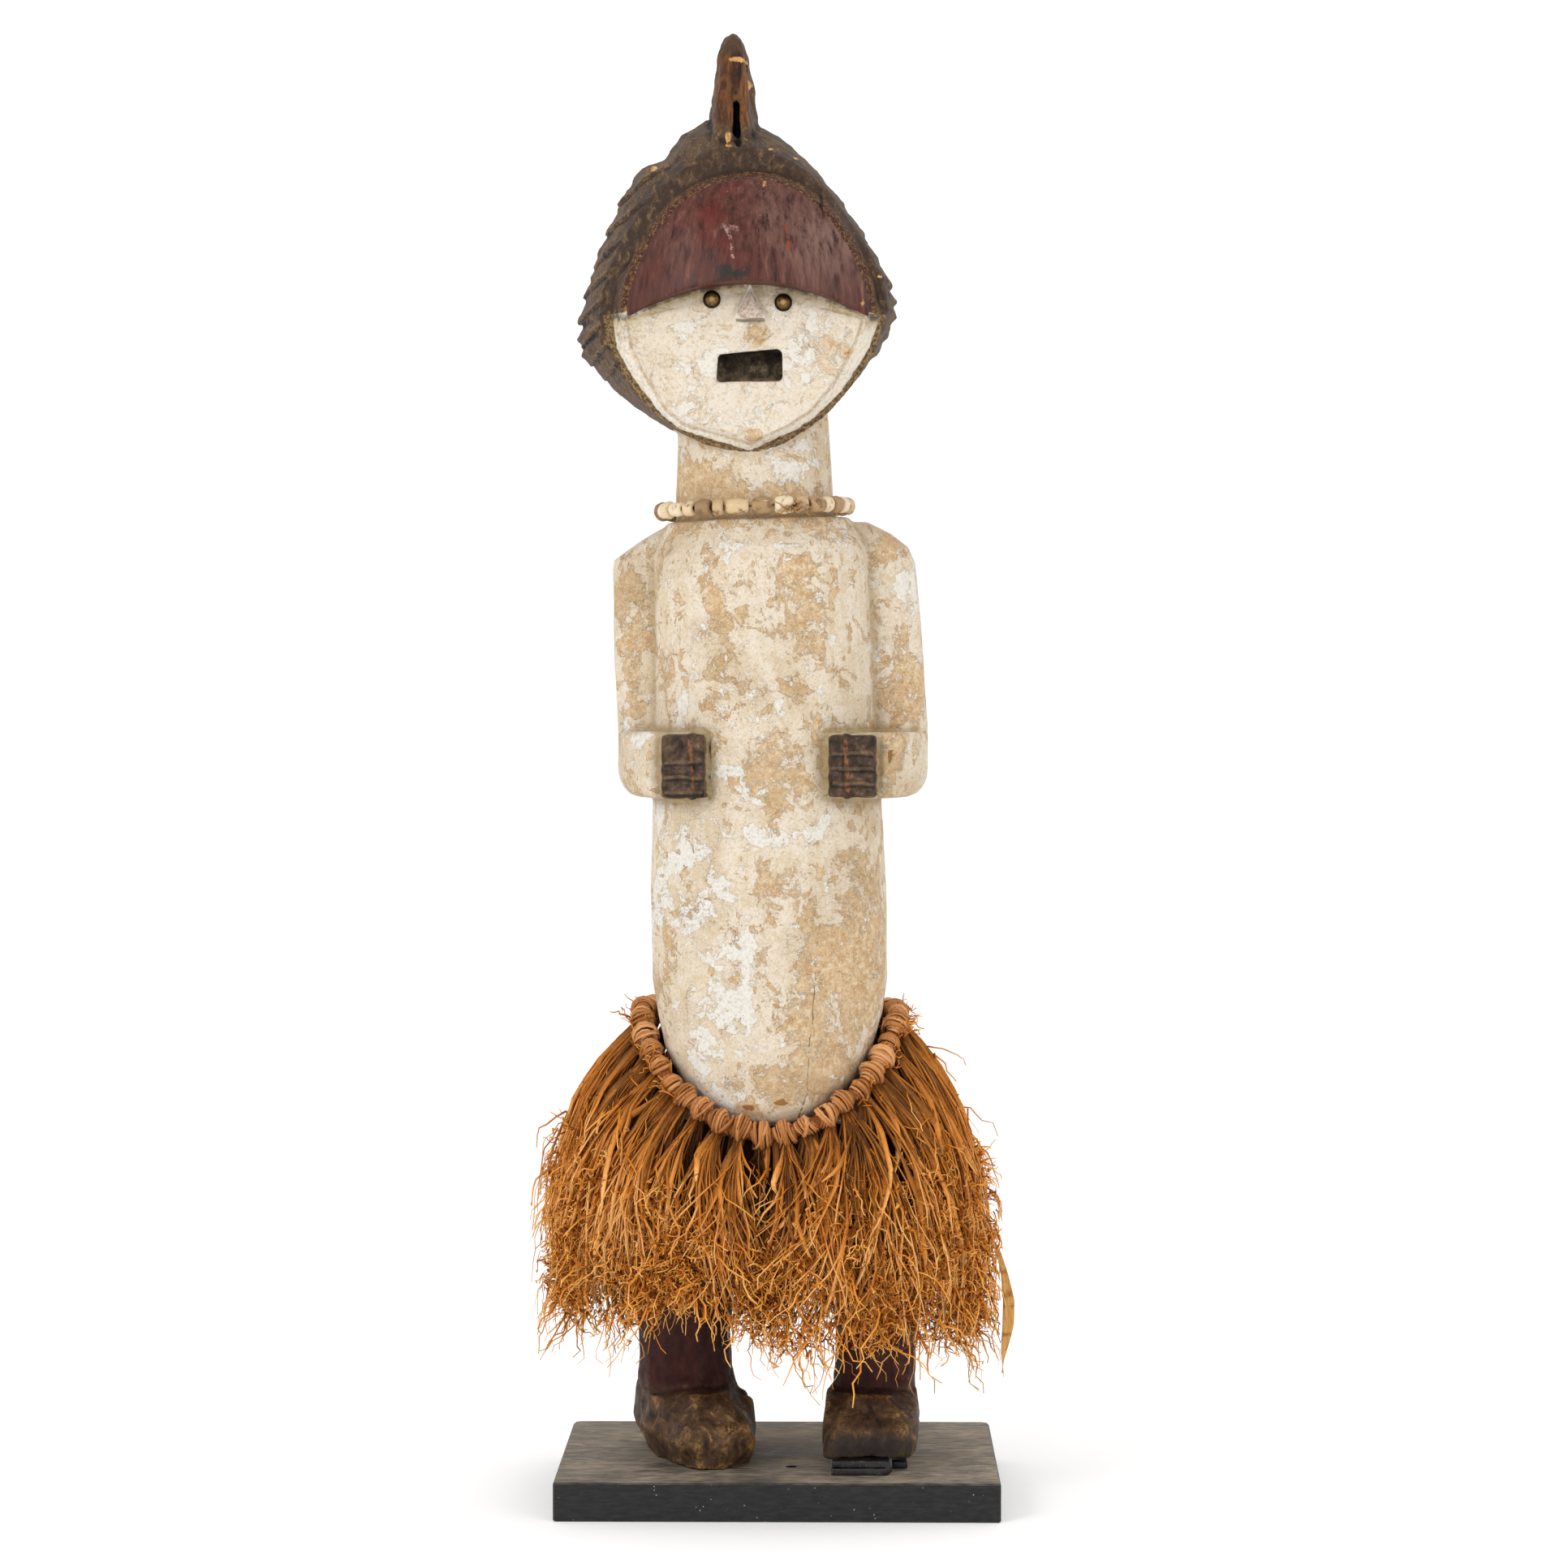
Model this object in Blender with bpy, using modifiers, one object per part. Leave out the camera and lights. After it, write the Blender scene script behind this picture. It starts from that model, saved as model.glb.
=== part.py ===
"""A carved and painted reliquary figure: one block of wood with a crested coiffure, tack eyes,
a bead necklace and a knotted fibre skirt, standing on a painted board over a folded leather shim.

World frame: metres, +Z up, origin at the centre of the board's underside. The figure faces -Y.
"""

import math
import random

import bmesh
import bpy
from mathutils import Matrix, Vector

# Driving dimensions, in metres
FIGURE_HEIGHT = 0.9085
GAP = 0.0003

PLINTH_WIDTH = 0.278
PLINTH_DEPTH = 0.200
PLINTH_THICKNESS = 0.0245
PLINTH_CORNER = 0.006
PLINTH_WORN_EDGE = 0.0011
SCREW_HOLE_DIAMETER = 0.0075
SCREW_HOLE_DEPTH = 0.014
SCREW_HOLE_X = 0.0085
SCREW_HOLE_FROM_FRONT = 0.051

SHIM_LEATHER = 0.0044
SHIM_WIDTH = 0.0385
SHIM_DEPTH = 0.034
SHIM_SLIP_WIDTH = 0.0095
SHIM_SLIP_DEPTH = 0.042
SHIM_SLIP_SETBACK = 0.014

TACK_HEAD_DIAMETER = 0.0112
TACK_HEAD_RISE = 0.0036
TACK_SHANK_DIAMETER = 0.0018
TACK_SHANK_LENGTH = 0.0085
TACK_HOLE_CLEARANCE = 0.0003

BEAD_DIAMETER = 0.0114
BEAD_HOLE_DIAMETER = 0.0034
NECKLACE_STRING_DIAMETER = 0.0015
NECKLACE_CLEARANCE = 0.0030
NECKLACE_REST = 0.0020
NECKLACE_TILT = math.radians(1.9)

WAIST_CORD_DIAMETER = 0.0056
WAIST_KNOT_DIAMETER = 0.0118
WAIST_KNOT_PITCH = 0.0136
SKIRT_HALF_WIDTH = 0.1385
SKIRT_HALF_DEPTH = 0.110
SKIRT_THICKNESS = 0.014
SKIRT_HEM_LEFT = 0.103
SKIRT_HEM_RIGHT = 0.070
SKIRT_HEM_BACK = 0.078
SKIRT_TUFTS = 32

# The waist cord hugs the hips, high at the sides and low under the belly, in thousandths of the height
WAIST_AXIS = (-6.5, -4.0)
WAIST_SIDE_HEIGHT = 315.0
WAIST_FRONT_DROP = 82.0
WAIST_BACK_DROP = 14.0
# How far the skirt has swung out at each share of its drop
SKIRT_SWING = (
    (0.0, 0.0), (0.12, 0.34), (0.27, 0.63), (0.45, 0.86), (0.68, 0.99), (0.86, 1.0), (1.0, 0.92),
)
SKIRT_LINING_SWING = ((0.93, 0.97), (0.6, 0.97), (0.27, 0.63))
SKIRT_TUFT_RELIEF = 0.018
SKIRT_RAGGED = 0.006
SKIRT_PARTING = 0.13

# The figure stands on the board, and its carving is laid out in thousandths of its own height
UNIT = FIGURE_HEIGHT / 1000.0
FIGURE_BASE = PLINTH_THICKNESS + GAP
FRONT_ANGLE = -math.pi / 2.0
SHIM_TOP = PLINTH_THICKNESS + GAP + 2.0 * SHIM_LEATHER + GAP
RAISED_SOLE = (SHIM_TOP + GAP - FIGURE_BASE) / UNIT

# Trunk rings: height, centre across, half width, half depth, centre in depth
TRUNK = (
    (238.0, -8.0, 16.0, 16.0, -40.0),
    (242.0, -7.0, 35.0, 31.0, -33.0),
    (253.5, -6.0, 52.0, 45.0, -25.0),
    (271.0, -6.5, 64.5, 56.0, -18.0),
    (289.0, -7.0, 73.5, 63.0, -13.0),
    (313.0, -6.0, 79.5, 68.0, -9.0),
    (337.0, -6.4, 82.8, 71.0, -7.0),
    (397.0, -7.3, 83.2, 72.5, -5.0),
    (463.0, -8.3, 80.5, 71.5, -4.0),
    (540.0, -10.0, 78.5, 71.0, -4.0),
    (633.0, -12.6, 77.0, 70.0, -3.0),
    (640.0, -13.0, 74.5, 67.0, -3.0),
    (650.0, -14.0, 68.0, 59.0, -2.0),
    (659.0, -15.0, 64.0, 54.0, -1.0),
)
TRUNK_ROUNDNESS = 2.3
HIPS = (
    (176.0, -2.0, 58.0, 40.0, 6.0),
    (206.0, -2.0, 66.0, 46.0, 6.0),
    (262.0, -4.0, 67.0, 47.0, 6.0),
    (322.0, -5.0, 66.0, 46.0, 6.0),
)
NECK = (
    (640.0, -16.5, 57.0, 51.0, 0.0),
    (664.0, -17.0, 55.5, 50.0, 0.0),
    (700.0, -17.4, 54.2, 49.0, 0.0),
    (752.0, -18.5, 52.0, 48.0, 2.0),
)

# Arm rings: height, outer face, front face, back face
ARM_LEFT = (
    (466.0, -97.0, -12.0, 34.0),
    (470.5, -104.5, -20.0, 40.0),
    (478.0, -110.5, -24.0, 44.0),
    (492.0, -113.0, -25.0, 46.0),
    (561.0, -116.0, -23.0, 46.0),
    (625.0, -117.5, -21.0, 46.0),
    (631.5, -116.5, -20.0, 45.0),
    (646.0, -96.0, -14.0, 41.0),
    (655.0, -80.0, -8.0, 36.0),
)
ARM_RIGHT = (
    (466.0, 88.0, -12.0, 34.0),
    (470.5, 93.5, -20.0, 40.0),
    (477.0, 99.5, -24.0, 44.0),
    (487.0, 104.5, -25.0, 46.0),
    (515.0, 105.0, -24.0, 46.0),
    (586.0, 100.5, -22.0, 46.0),
    (619.0, 97.5, -21.0, 46.0),
    (630.0, 96.2, -20.0, 45.0),
    (641.0, 91.0, -17.0, 43.0),
    (650.0, 79.0, -12.0, 40.0),
    (658.0, 63.0, -6.0, 34.0),
)
ARM_INNER = 56.0
ARM_SQUARENESS = 4.5

# Forearms seen from above, elbow to hand, on the figure's right-hand side of the view
FOREARM_PLAN = (
    (84.0, 40.0), (104.0, 34.0), (104.8, -14.0), (98.0, -44.0), (82.0, -68.0), (58.0, -76.0),
    (40.0, -44.0), (34.0, 0.0),
)
FOREARM_PLAN_LEFT_SHIFT = -8.0
FOREARM_BOTTOM = 465.5
FOREARM_TOP = 511.0
FOREARM_EDGE = 3.0
# The underside draws in towards the elbow's worn corner: rise above the bottom and inset
FOREARM_ROUNDING = ((0.0, 14.0), (2.2, 8.0), (6.5, 3.6), (13.0, 0.8), (20.0, 0.0))
HAND_FRONT = -86.0
HAND_BOTTOM = 466.0
HAND_TOP = 511.5
FINGER_GROOVES_LEFT = (493.0, 482.0, 472.5)
FINGER_GROOVES_RIGHT = (497.0, 486.5, 476.0)

# Legs: height, centre across, half width, half depth, centre in depth
LEG_LEFT = (
    (34.0, -62.0, 34.0, 30.0, 8.0),
    (48.0, -65.0, 36.0, 33.0, 6.0),
    (58.0, -66.5, 33.0, 33.0, 4.0),
    (88.0, -67.0, 32.5, 34.0, 0.0),
    (122.0, -66.0, 35.5, 36.0, -8.0),
    (150.0, -62.0, 36.0, 38.0, -14.0),
    (176.0, -50.0, 36.0, 36.0, -4.0),
    (205.0, -38.0, 33.0, 34.0, 4.0),
)
LEG_RIGHT = (
    (34.0, 67.0, 27.0, 30.0, 4.0),
    (47.0, 68.3, 28.8, 33.0, 2.0),
    (88.0, 68.2, 28.2, 34.0, 0.0),
    (122.0, 66.0, 32.0, 36.0, -8.0),
    (150.0, 61.0, 34.0, 38.0, -14.0),
    (176.0, 48.0, 35.0, 36.0, -4.0),
    (205.0, 34.0, 33.0, 34.0, 4.0),
)
LIMB_ROUNDNESS = 2.5

# Feet, hewn square: each corner's sole, side and instep points, going round from the heel
FOOT_LEFT = (
    ((-96.0, 43.0, 0.0), (-102.0, 44.0, 25.0), (-100.0, 40.0, 48.0)),
    ((-93.5, 8.0, 0.0), (-103.0, 8.0, 23.0), (-101.0, 6.0, 48.0)),
    ((-87.5, -20.0, 0.0), (-96.0, -22.0, 21.0), (-88.0, -28.0, 44.0)),
    ((-63.5, -62.0, 0.0), (-68.0, -64.0, 16.0), (-63.7, -66.0, 28.5)),
    ((-55.0, -70.0, 0.0), (-56.0, -71.0, 16.0), (-52.0, -70.0, 28.0)),
    ((-38.0, -66.0, 0.0), (-36.0, -70.0, 15.0), (-32.0, -69.0, 28.0)),
    ((-19.5, -42.0, 0.0), (-17.5, -58.0, 15.0), (-20.0, -60.0, 28.5)),
    ((-17.5, 10.0, 0.0), (-15.5, -6.0, 20.0), (-20.0, -14.0, 40.0)),
    ((-24.0, 42.0, 0.0), (-24.0, 43.0, 24.0), (-34.0, 36.0, 48.0)),
)
FOOT_RIGHT = (
    ((36.0, 38.0), (35.0, 40.0, 28.0), (42.0, 34.0, 48.0)),
    ((32.0, -28.0), (32.0, -34.0, 28.0), (33.0, -44.0, 46.0)),
    ((32.0, -69.0), (31.5, -64.0, 24.0), (34.0, -56.0, 37.0)),
    ((38.0, -77.0), (37.0, -78.0, 20.0), (39.0, -76.0, 29.4)),
    ((88.0, -77.0), (89.0, -77.5, 20.0), (88.0, -75.0, 29.8)),
    ((95.5, -63.5), (98.0, -62.0, 22.0), (95.0, -58.0, 35.0)),
    ((97.0, 4.0), (100.0, 0.0, 28.0), (97.5, -12.0, 47.0)),
    ((95.0, 36.0), (97.0, 38.0, 28.0), (94.0, 34.0, 48.0)),
)

# Head, seen from the front: across and height of the outline's corners
HEAD_CENTRE = (-22.0, 812.0)
COIFFURE_OUTLINE = (
    (-20.0, 702.0), (-52.0, 712.0), (-75.0, 723.0), (-96.0, 736.0), (-117.0, 752.0), (-138.0, 771.0),
    (-143.0, 790.0), (-138.6, 815.0), (-126.5, 853.0), (-111.0, 889.0), (-96.5, 911.0), (-89.5, 916.0),
    (-82.5, 912.0), (-76.0, 924.0), (-66.0, 936.0), (-56.0, 943.0), (-50.0, 940.0),
    (-33.0, 941.0), (-15.0, 939.0), (4.0, 929.0), (28.0, 905.0),
    (54.5, 870.0), (74.0, 836.0), (82.0, 816.0), (81.0, 798.0), (66.5, 774.0), (48.0, 750.0),
    (32.0, 738.0), (6.0, 716.0),
)
HAIRLINE = (
    (-18.0, 703.0), (-50.0, 710.0), (-80.0, 726.0), (-102.0, 752.0), (-116.0, 784.0), (-119.0, 806.0),
    (-108.0, 836.0), (-89.0, 864.0), (-62.0, 892.0), (-30.0, 906.0), (2.0, 903.0), (29.0, 887.0),
    (52.0, 858.0), (69.0, 830.0), (75.5, 805.0), (66.0, 772.0), (41.0, 735.0), (12.0, 714.0),
)
# Rings from the hairline to the back: depth, share of the way out to the full outline, shrinkage
COIFFURE_RINGS = (
    (-52.0, 0.0, 1.0),
    (-47.0, 0.30, 1.0),
    (-20.0, 0.72, 1.0),
    (12.0, 1.0, 1.0),
    (38.0, 1.0, 0.965),
    (60.0, 1.0, 0.86),
    (76.0, 1.0, 0.66),
    (84.0, 1.0, 0.36),
)
RIDGES_LEFT = (776.0, 787.5, 800.0, 817.0, 832.0, 848.5, 865.0, 881.0, 901.0)
RIDGES_RIGHT = (777.0, 790.0, 803.0, 814.0, 825.0, 843.0, 862.0, 882.0)
RIDGE_NOTCH = 3.4
RIDGE_RISE = 1.7
TOOTH_RISE = 3.4
TEETH_LEFT = RIDGES_LEFT[:3]
TEETH_RIGHT = RIDGES_RIGHT[2:5]

FACE_OUTLINE = (
    (-15.0, 710.5), (-59.0, 729.0), (-70.5, 739.0), (-84.5, 753.5), (-98.0, 776.0), (-107.5, 798.0),
    (-104.0, 826.0), (-60.0, 856.0), (-20.0, 864.0), (20.0, 856.0), (58.0, 824.0), (61.0, 795.0),
    (56.0, 783.0), (40.0, 754.0), (23.5, 734.0), (5.5, 721.0),
)
JAW_OUTLINE = (
    (-19.5, 706.5), (-51.0, 715.5), (-68.0, 721.0), (-80.0, 730.5), (-100.0, 756.0), (-111.0, 775.0),
    (-115.5, 800.0), (-109.0, 830.0), (-62.0, 862.0), (-20.0, 870.0), (22.0, 861.0), (64.0, 826.0),
    (71.0, 800.0), (63.0, 776.0), (44.7, 748.0), (24.5, 728.0), (9.0, 719.0),
)
FACE_PLANE = -68.0
JAW_PLANE = -56.0

FOREHEAD_CENTRE = -20.5
FOREHEAD_HALF_WIDTH = 84.0
FOREHEAD_LOW_SIDE = 796.5
FOREHEAD_LOW_RISE = 22.5
FOREHEAD_TOP_SIDE = 800.0
FOREHEAD_TOP_RISE = 92.0
FOREHEAD_SIDE_DEPTH = -62.0
FOREHEAD_BULGE = 33.0
FOREHEAD_RIM = 6.5

TACK_PLACES = ((-45.2, 808.6), (3.9, 806.4))
NOSE_CORNERS = ((-28.5, 796.0, 0.0), (-7.5, 795.5, 0.0), (-18.0, 820.0, 0.0), (-18.0, 799.5, -7.5))
MOUTH_CORNERS = ((-42.3, 751.8), (3.3, 753.0), (2.7, 774.8), (-41.0, 771.2))
MOUTH_DEPTH = 15.0

# Crest rings: depth, height of the top, half widths near the top, half way down and at the base
CREST_RINGS = (
    (-37.0, 988.0, 5.5, 8.0, 13.0),
    (-30.0, 996.0, 6.5, 9.5, 14.5),
    (-12.0, 1000.0, 7.5, 13.0, 17.0),
    (10.0, 997.0, 8.0, 15.0, 19.0),
    (34.0, 984.0, 7.5, 14.0, 18.0),
    (58.0, 956.0, 6.0, 10.0, 14.0),
)
CREST_LEAN = -32.0
CREST_SLOT = ((-31.5, 925.0), (-27.6, 925.0), (-28.6, 956.0), (-31.0, 957.0))

BEAD_LENGTHS = (
    0.0135, 0.0115, 0.011, 0.0074, 0.0089, 0.0062, 0.0078, 0.0066, 0.0104, 0.0071, 0.0093, 0.0064,
)
MOST_BEADS = 34


def clear_scene():
    for thing in list(bpy.data.objects):
        bpy.data.objects.remove(thing, do_unlink=True)


def new_collection(name):
    made = bpy.data.collections.new(name)
    bpy.context.scene.collection.children.link(made)
    return made


def new_material(name, colour, roughness, metallic=0.0):
    made = bpy.data.materials.new(name)
    made.use_nodes = True
    shader = made.node_tree.nodes["Principled BSDF"]
    shader.inputs["Base Color"].default_value = (*colour, 1.0)
    shader.inputs["Roughness"].default_value = roughness
    shader.inputs["Metallic"].default_value = metallic
    return made


def add_object(name, bm, collection, material=None, smooth=False):
    """A bmesh made an object, with its faces turned outwards."""
    bmesh.ops.recalc_face_normals(bm, faces=bm.faces)
    mesh = bpy.data.meshes.new(name)
    bm.to_mesh(mesh)
    bm.free()
    if smooth:
        mesh.shade_smooth()
        mesh.set_sharp_from_angle(angle=math.radians(35))
    made = bpy.data.objects.new(name, mesh)
    collection.objects.link(made)
    if material:
        mesh.materials.append(material)
    return made


def add_tool(name, bm, collection):
    """A shape that is joined to or cut from another, drawn as wire and never rendered."""
    made = add_object(name, bm, collection)
    made.hide_render = True
    made.display_type = "WIRE"
    return made


def combine(target, tool, operation):
    """Joins or cuts with the manifold solver: the exact one leaves the hewn head's mesh open."""
    step = target.modifiers.new(tool.name, "BOOLEAN")
    step.operation = operation
    step.solver = "MANIFOLD"
    step.object = tool


def at(x, y, z):
    """A point of the carving, given in thousandths of the figure's height, in the world."""
    return Vector((x * UNIT, y * UNIT, FIGURE_BASE + z * UNIT))


def loft(rings):
    """A closed body through rings of equally many points, capped at both ends."""
    bm = bmesh.new()
    rows = [[bm.verts.new(point) for point in ring] for ring in rings]
    count = len(rows[0])
    for low, high in zip(rows, rows[1:]):
        for i in range(count):
            j = (i + 1) % count
            bm.faces.new((low[i], low[j], high[j], high[i]))
    bm.faces.new(rows[0])
    bm.faces.new(rows[-1])
    bmesh.ops.triangulate(bm, faces=bm.faces)
    return bm


def prism(corners, y_front, y_back):
    """A flat outline seen from the front, given a depth."""
    return loft([[at(x, y, z) for x, z in corners] for y in (y_front, y_back)])


def oval_radius(angle, half_width, half_depth, roundness):
    across = abs(math.cos(angle)) / half_width
    along = abs(math.sin(angle)) / half_depth
    return (across**roundness + along**roundness) ** (-1.0 / roundness)


def oval_ring(station, roundness, count, tilt=0.0):
    height, centre_x, half_width, half_depth, centre_y = station
    ring = []
    for i in range(count):
        angle = 2.0 * math.pi * i / count
        radius = oval_radius(angle, half_width, half_depth, roundness)
        x = radius * math.cos(angle)
        ring.append(at(centre_x + x, centre_y + radius * math.sin(angle), height + x * tilt))
    return ring


def station_at(stations, height):
    """The ring's values at a height, straight between the two stations around it."""
    if not stations[0][0] <= height <= stations[-1][0]:
        return None
    for low, high in zip(stations, stations[1:]):
        if height <= high[0]:
            share = (height - low[0]) / (high[0] - low[0])
            return [a + (b - a) * share for a, b in zip(low, high)]


def inside_station(station, roundness, x, y):
    _, centre_x, half_width, half_depth, centre_y = station
    across = abs(x - centre_x) / half_width
    along = abs(y - centre_y) / half_depth
    return across**roundness + along**roundness < 1.0


def body_reach(angle, height, margin):
    """How far the trunk or hips stand out from the waist's axis near a height, in units."""
    axis_x, axis_y = WAIST_AXIS
    furthest = 0.0
    for step in range(-2, 3):
        for stations, roundness in ((TRUNK, TRUNK_ROUNDNESS), (HIPS, LIMB_ROUNDNESS)):
            station = station_at(stations, height + margin * step / 2.0)
            if not station:
                continue
            inner, outer = 0.0, 200.0
            for _ in range(24):
                middle = (inner + outer) / 2.0
                x = axis_x + middle * math.cos(angle)
                y = axis_y + middle * math.sin(angle)
                if inside_station(station, roundness, x, y):
                    inner = middle
                else:
                    outer = middle
            furthest = max(furthest, outer)
    return furthest


def trunk_mesh():
    tilt_from = 633.0
    slope = math.tan(NECKLACE_TILT)
    return loft([
        oval_ring(station, TRUNK_ROUNDNESS, 32, slope if station[0] > tilt_from else 0.0)
        for station in TRUNK
    ])


def arm_mesh(stations):
    """An upper arm as a square-shouldered column sunk into the trunk's side."""
    rings = []
    for height, outer, front, back in stations:
        inner = math.copysign(ARM_INNER, outer) + HEAD_CENTRE[0] / 2.0
        centre_x = (outer + inner) / 2.0
        half_width = abs(outer - inner) / 2.0
        station = (height, centre_x, half_width, (back - front) / 2.0, (back + front) / 2.0)
        rings.append(oval_ring(station, ARM_SQUARENESS, 16))
    return loft(rings)


def forearm_object(side, collection):
    """A forearm coming forward from the elbow to the hand, its edges rounded by wear."""
    shift = FOREARM_PLAN_LEFT_SHIFT if side < 0 else 0.0
    plan = [(side * x + shift, y) for x, y in FOREARM_PLAN]
    outermost = max(abs(x) for x, _ in plan)
    rings = []
    for rise, inset in FOREARM_ROUNDING + ((FOREARM_TOP - FOREARM_BOTTOM, 0.0),):
        ring = []
        for x, y in plan:
            share = max(0.0, abs(x) / outermost - 0.7) / 0.3
            ring.append(at(x - math.copysign(inset * share, side), y, FOREARM_BOTTOM + rise))
        rings.append(ring)
    made = add_tool("forearm_left" if side < 0 else "forearm_right", loft(rings), collection)
    wear = made.modifiers.new("worn edges", "BEVEL")
    wear.width = FOREARM_EDGE * UNIT
    wear.segments = 1
    wear.limit_method = "ANGLE"
    wear.angle_limit = math.radians(50)
    return made


def hand_parts(side, collection):
    """The fingers as a raised block, the lower finger ends beside it, and the cuts between fingers."""
    if side < 0:
        fingers, ends, grooves = (-81.5, -58.0), (-60.0, -47.8), FINGER_GROOVES_LEFT
    else:
        fingers, ends, grooves = (45.5, 70.0), (33.0, 47.5), FINGER_GROOVES_RIGHT
    name = "left" if side < 0 else "right"
    joined = []
    blocks = (("fingers", fingers, HAND_FRONT), ("finger_ends", ends, HAND_FRONT + 4.0))
    for label, (low, high), front in blocks:
        corners = ((low, HAND_BOTTOM), (high, HAND_BOTTOM + 0.6), (high, HAND_TOP), (low, HAND_TOP - 1.5))
        block = add_tool(f"{label}_{name}", prism(corners, front, -30.0), collection)
        wear = block.modifiers.new("worn edges", "BEVEL")
        wear.width = 2.2 * UNIT
        wear.segments = 1
        wear.limit_method = "ANGLE"
        wear.angle_limit = math.radians(40)
        joined.append(block)
    cuts = bmesh.new()
    if side < 0:
        inner, outer = fingers[0] + 4.0, fingers[1] + 2.0
    else:
        inner, outer = fingers[0] - 2.0, fingers[1] - 6.0
    mouth, depth = HAND_FRONT - 2.0, HAND_FRONT + 3.0
    for height in grooves:
        wedge = [
            [at(x, mouth, height - 2.2), at(x, mouth, height + 2.2), at(x, depth, height)]
            for x in (inner, outer)
        ]
        add_wedge(cuts, wedge)
    return joined, add_tool(f"finger_grooves_{name}", cuts, collection)


def add_wedge(bm, ends):
    """A three-sided bar between two triangles, added to a mesh of cuts."""
    first = [bm.verts.new(point) for point in ends[0]]
    last = [bm.verts.new(point) for point in ends[1]]
    bm.faces.new(first)
    bm.faces.new(reversed(last))
    for i in range(3):
        j = (i + 1) % 3
        bm.faces.new((first[j], first[i], last[i], last[j]))


def limb_mesh(stations):
    return loft([oval_ring(station, LIMB_ROUNDNESS, 16) for station in stations])


def foot_mesh(corners, sole_height):
    """A hewn foot: sole, sides and instep, closed under the ankle."""
    sole = [at(*corner[0][:2], sole_height) for corner in corners]
    sides = [at(*corner[1]) for corner in corners]
    instep = [at(*corner[2]) for corner in corners]
    middle = sum((Vector(corner[2]) for corner in corners), Vector()) / len(corners)
    ankle = [at(*(Vector(corner[2]).lerp(middle, 0.5).xy), 49.0) for corner in corners]
    return loft([sole, sides, instep, ankle])


def ray_to_outline(outline, angle):
    """How far the head's outline lies from its centre in one direction."""
    centre_x, centre_z = HEAD_CENTRE
    direction = (math.cos(angle), math.sin(angle))
    best = 0.0
    for i, start in enumerate(outline):
        end = outline[(i + 1) % len(outline)]
        ax, az = start[0] - centre_x, start[1] - centre_z
        bx, bz = end[0] - start[0], end[1] - start[1]
        cross = direction[0] * bz - direction[1] * bx
        if abs(cross) < 1e-9:
            continue
        along = (ax * direction[1] - az * direction[0]) / cross
        reach = (ax * bz - az * bx) / cross
        if -1e-9 <= along <= 1.0 + 1e-9 and reach > best:
            best = reach
    return best


def outline_angle(outline, height, side):
    """The direction in which the outline reaches a height on one side of the head."""
    centre_x, centre_z = HEAD_CENTRE
    for i, start in enumerate(outline):
        end = outline[(i + 1) % len(outline)]
        on_side = (start[0] - centre_x) * side > 0 and (end[0] - centre_x) * side > 0
        if on_side and min(start[1], end[1]) <= height < max(start[1], end[1]):
            share = (height - start[1]) / (end[1] - start[1])
            x = start[0] + (end[0] - start[0]) * share
            return math.atan2(height - centre_z, x - centre_x) % (2.0 * math.pi)


def coiffure_directions():
    """Directions round the head with the rise of each: a crest and a notch for every comb row."""
    found = {}
    for side, ridges in ((-1, RIDGES_LEFT), (1, RIDGES_RIGHT)):
        for height in ridges:
            rise = TOOTH_RISE if height in TEETH_LEFT + TEETH_RIGHT else RIDGE_RISE
            found[outline_angle(COIFFURE_OUTLINE, height, side)] = rise * 0.6
            found[outline_angle(COIFFURE_OUTLINE, height - RIDGE_NOTCH, side)] = -rise * 0.6
    for start, end in ((math.radians(38), math.radians(128)), (math.radians(212), math.radians(326))):
        for i in range(12):
            found[start + (end - start) * i / 11] = 0.0
    ordered = sorted(found.items())
    kept = [ordered[0]]
    for angle, rise in ordered[1:]:
        if angle - kept[-1][0] > math.radians(0.9):
            kept.append((angle, rise))
    return kept


def coiffure_mesh():
    """The crested cap of hair, from the hairline round the face back over the skull."""
    directions = coiffure_directions()
    centre_x, centre_z = HEAD_CENTRE
    rings = []
    for depth, share, shrinkage in COIFFURE_RINGS:
        ring = []
        for angle, rise in directions:
            near = ray_to_outline(HAIRLINE, angle)
            far = ray_to_outline(COIFFURE_OUTLINE, angle)
            radius = (near + (far - near) * share) * shrinkage + rise * share * shrinkage**3
            ring.append(at(centre_x + radius * math.cos(angle), depth, centre_z + radius * math.sin(angle)))
        rings.append(ring)
    return loft(rings)


def face_mesh():
    """The flat face, its bevelled jaw band, and the block behind it."""
    centre_x, centre_z = HEAD_CENTRE
    rings = []
    for outline, depth in ((FACE_OUTLINE, FACE_PLANE), (JAW_OUTLINE, JAW_PLANE), (JAW_OUTLINE, -30.0)):
        ring = []
        for i in range(44):
            angle = 2.0 * math.pi * i / 44
            radius = ray_to_outline(outline, angle)
            ring.append(at(centre_x + radius * math.cos(angle), depth, centre_z + radius * math.sin(angle)))
        rings.append(ring)
    return loft(rings)


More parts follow.
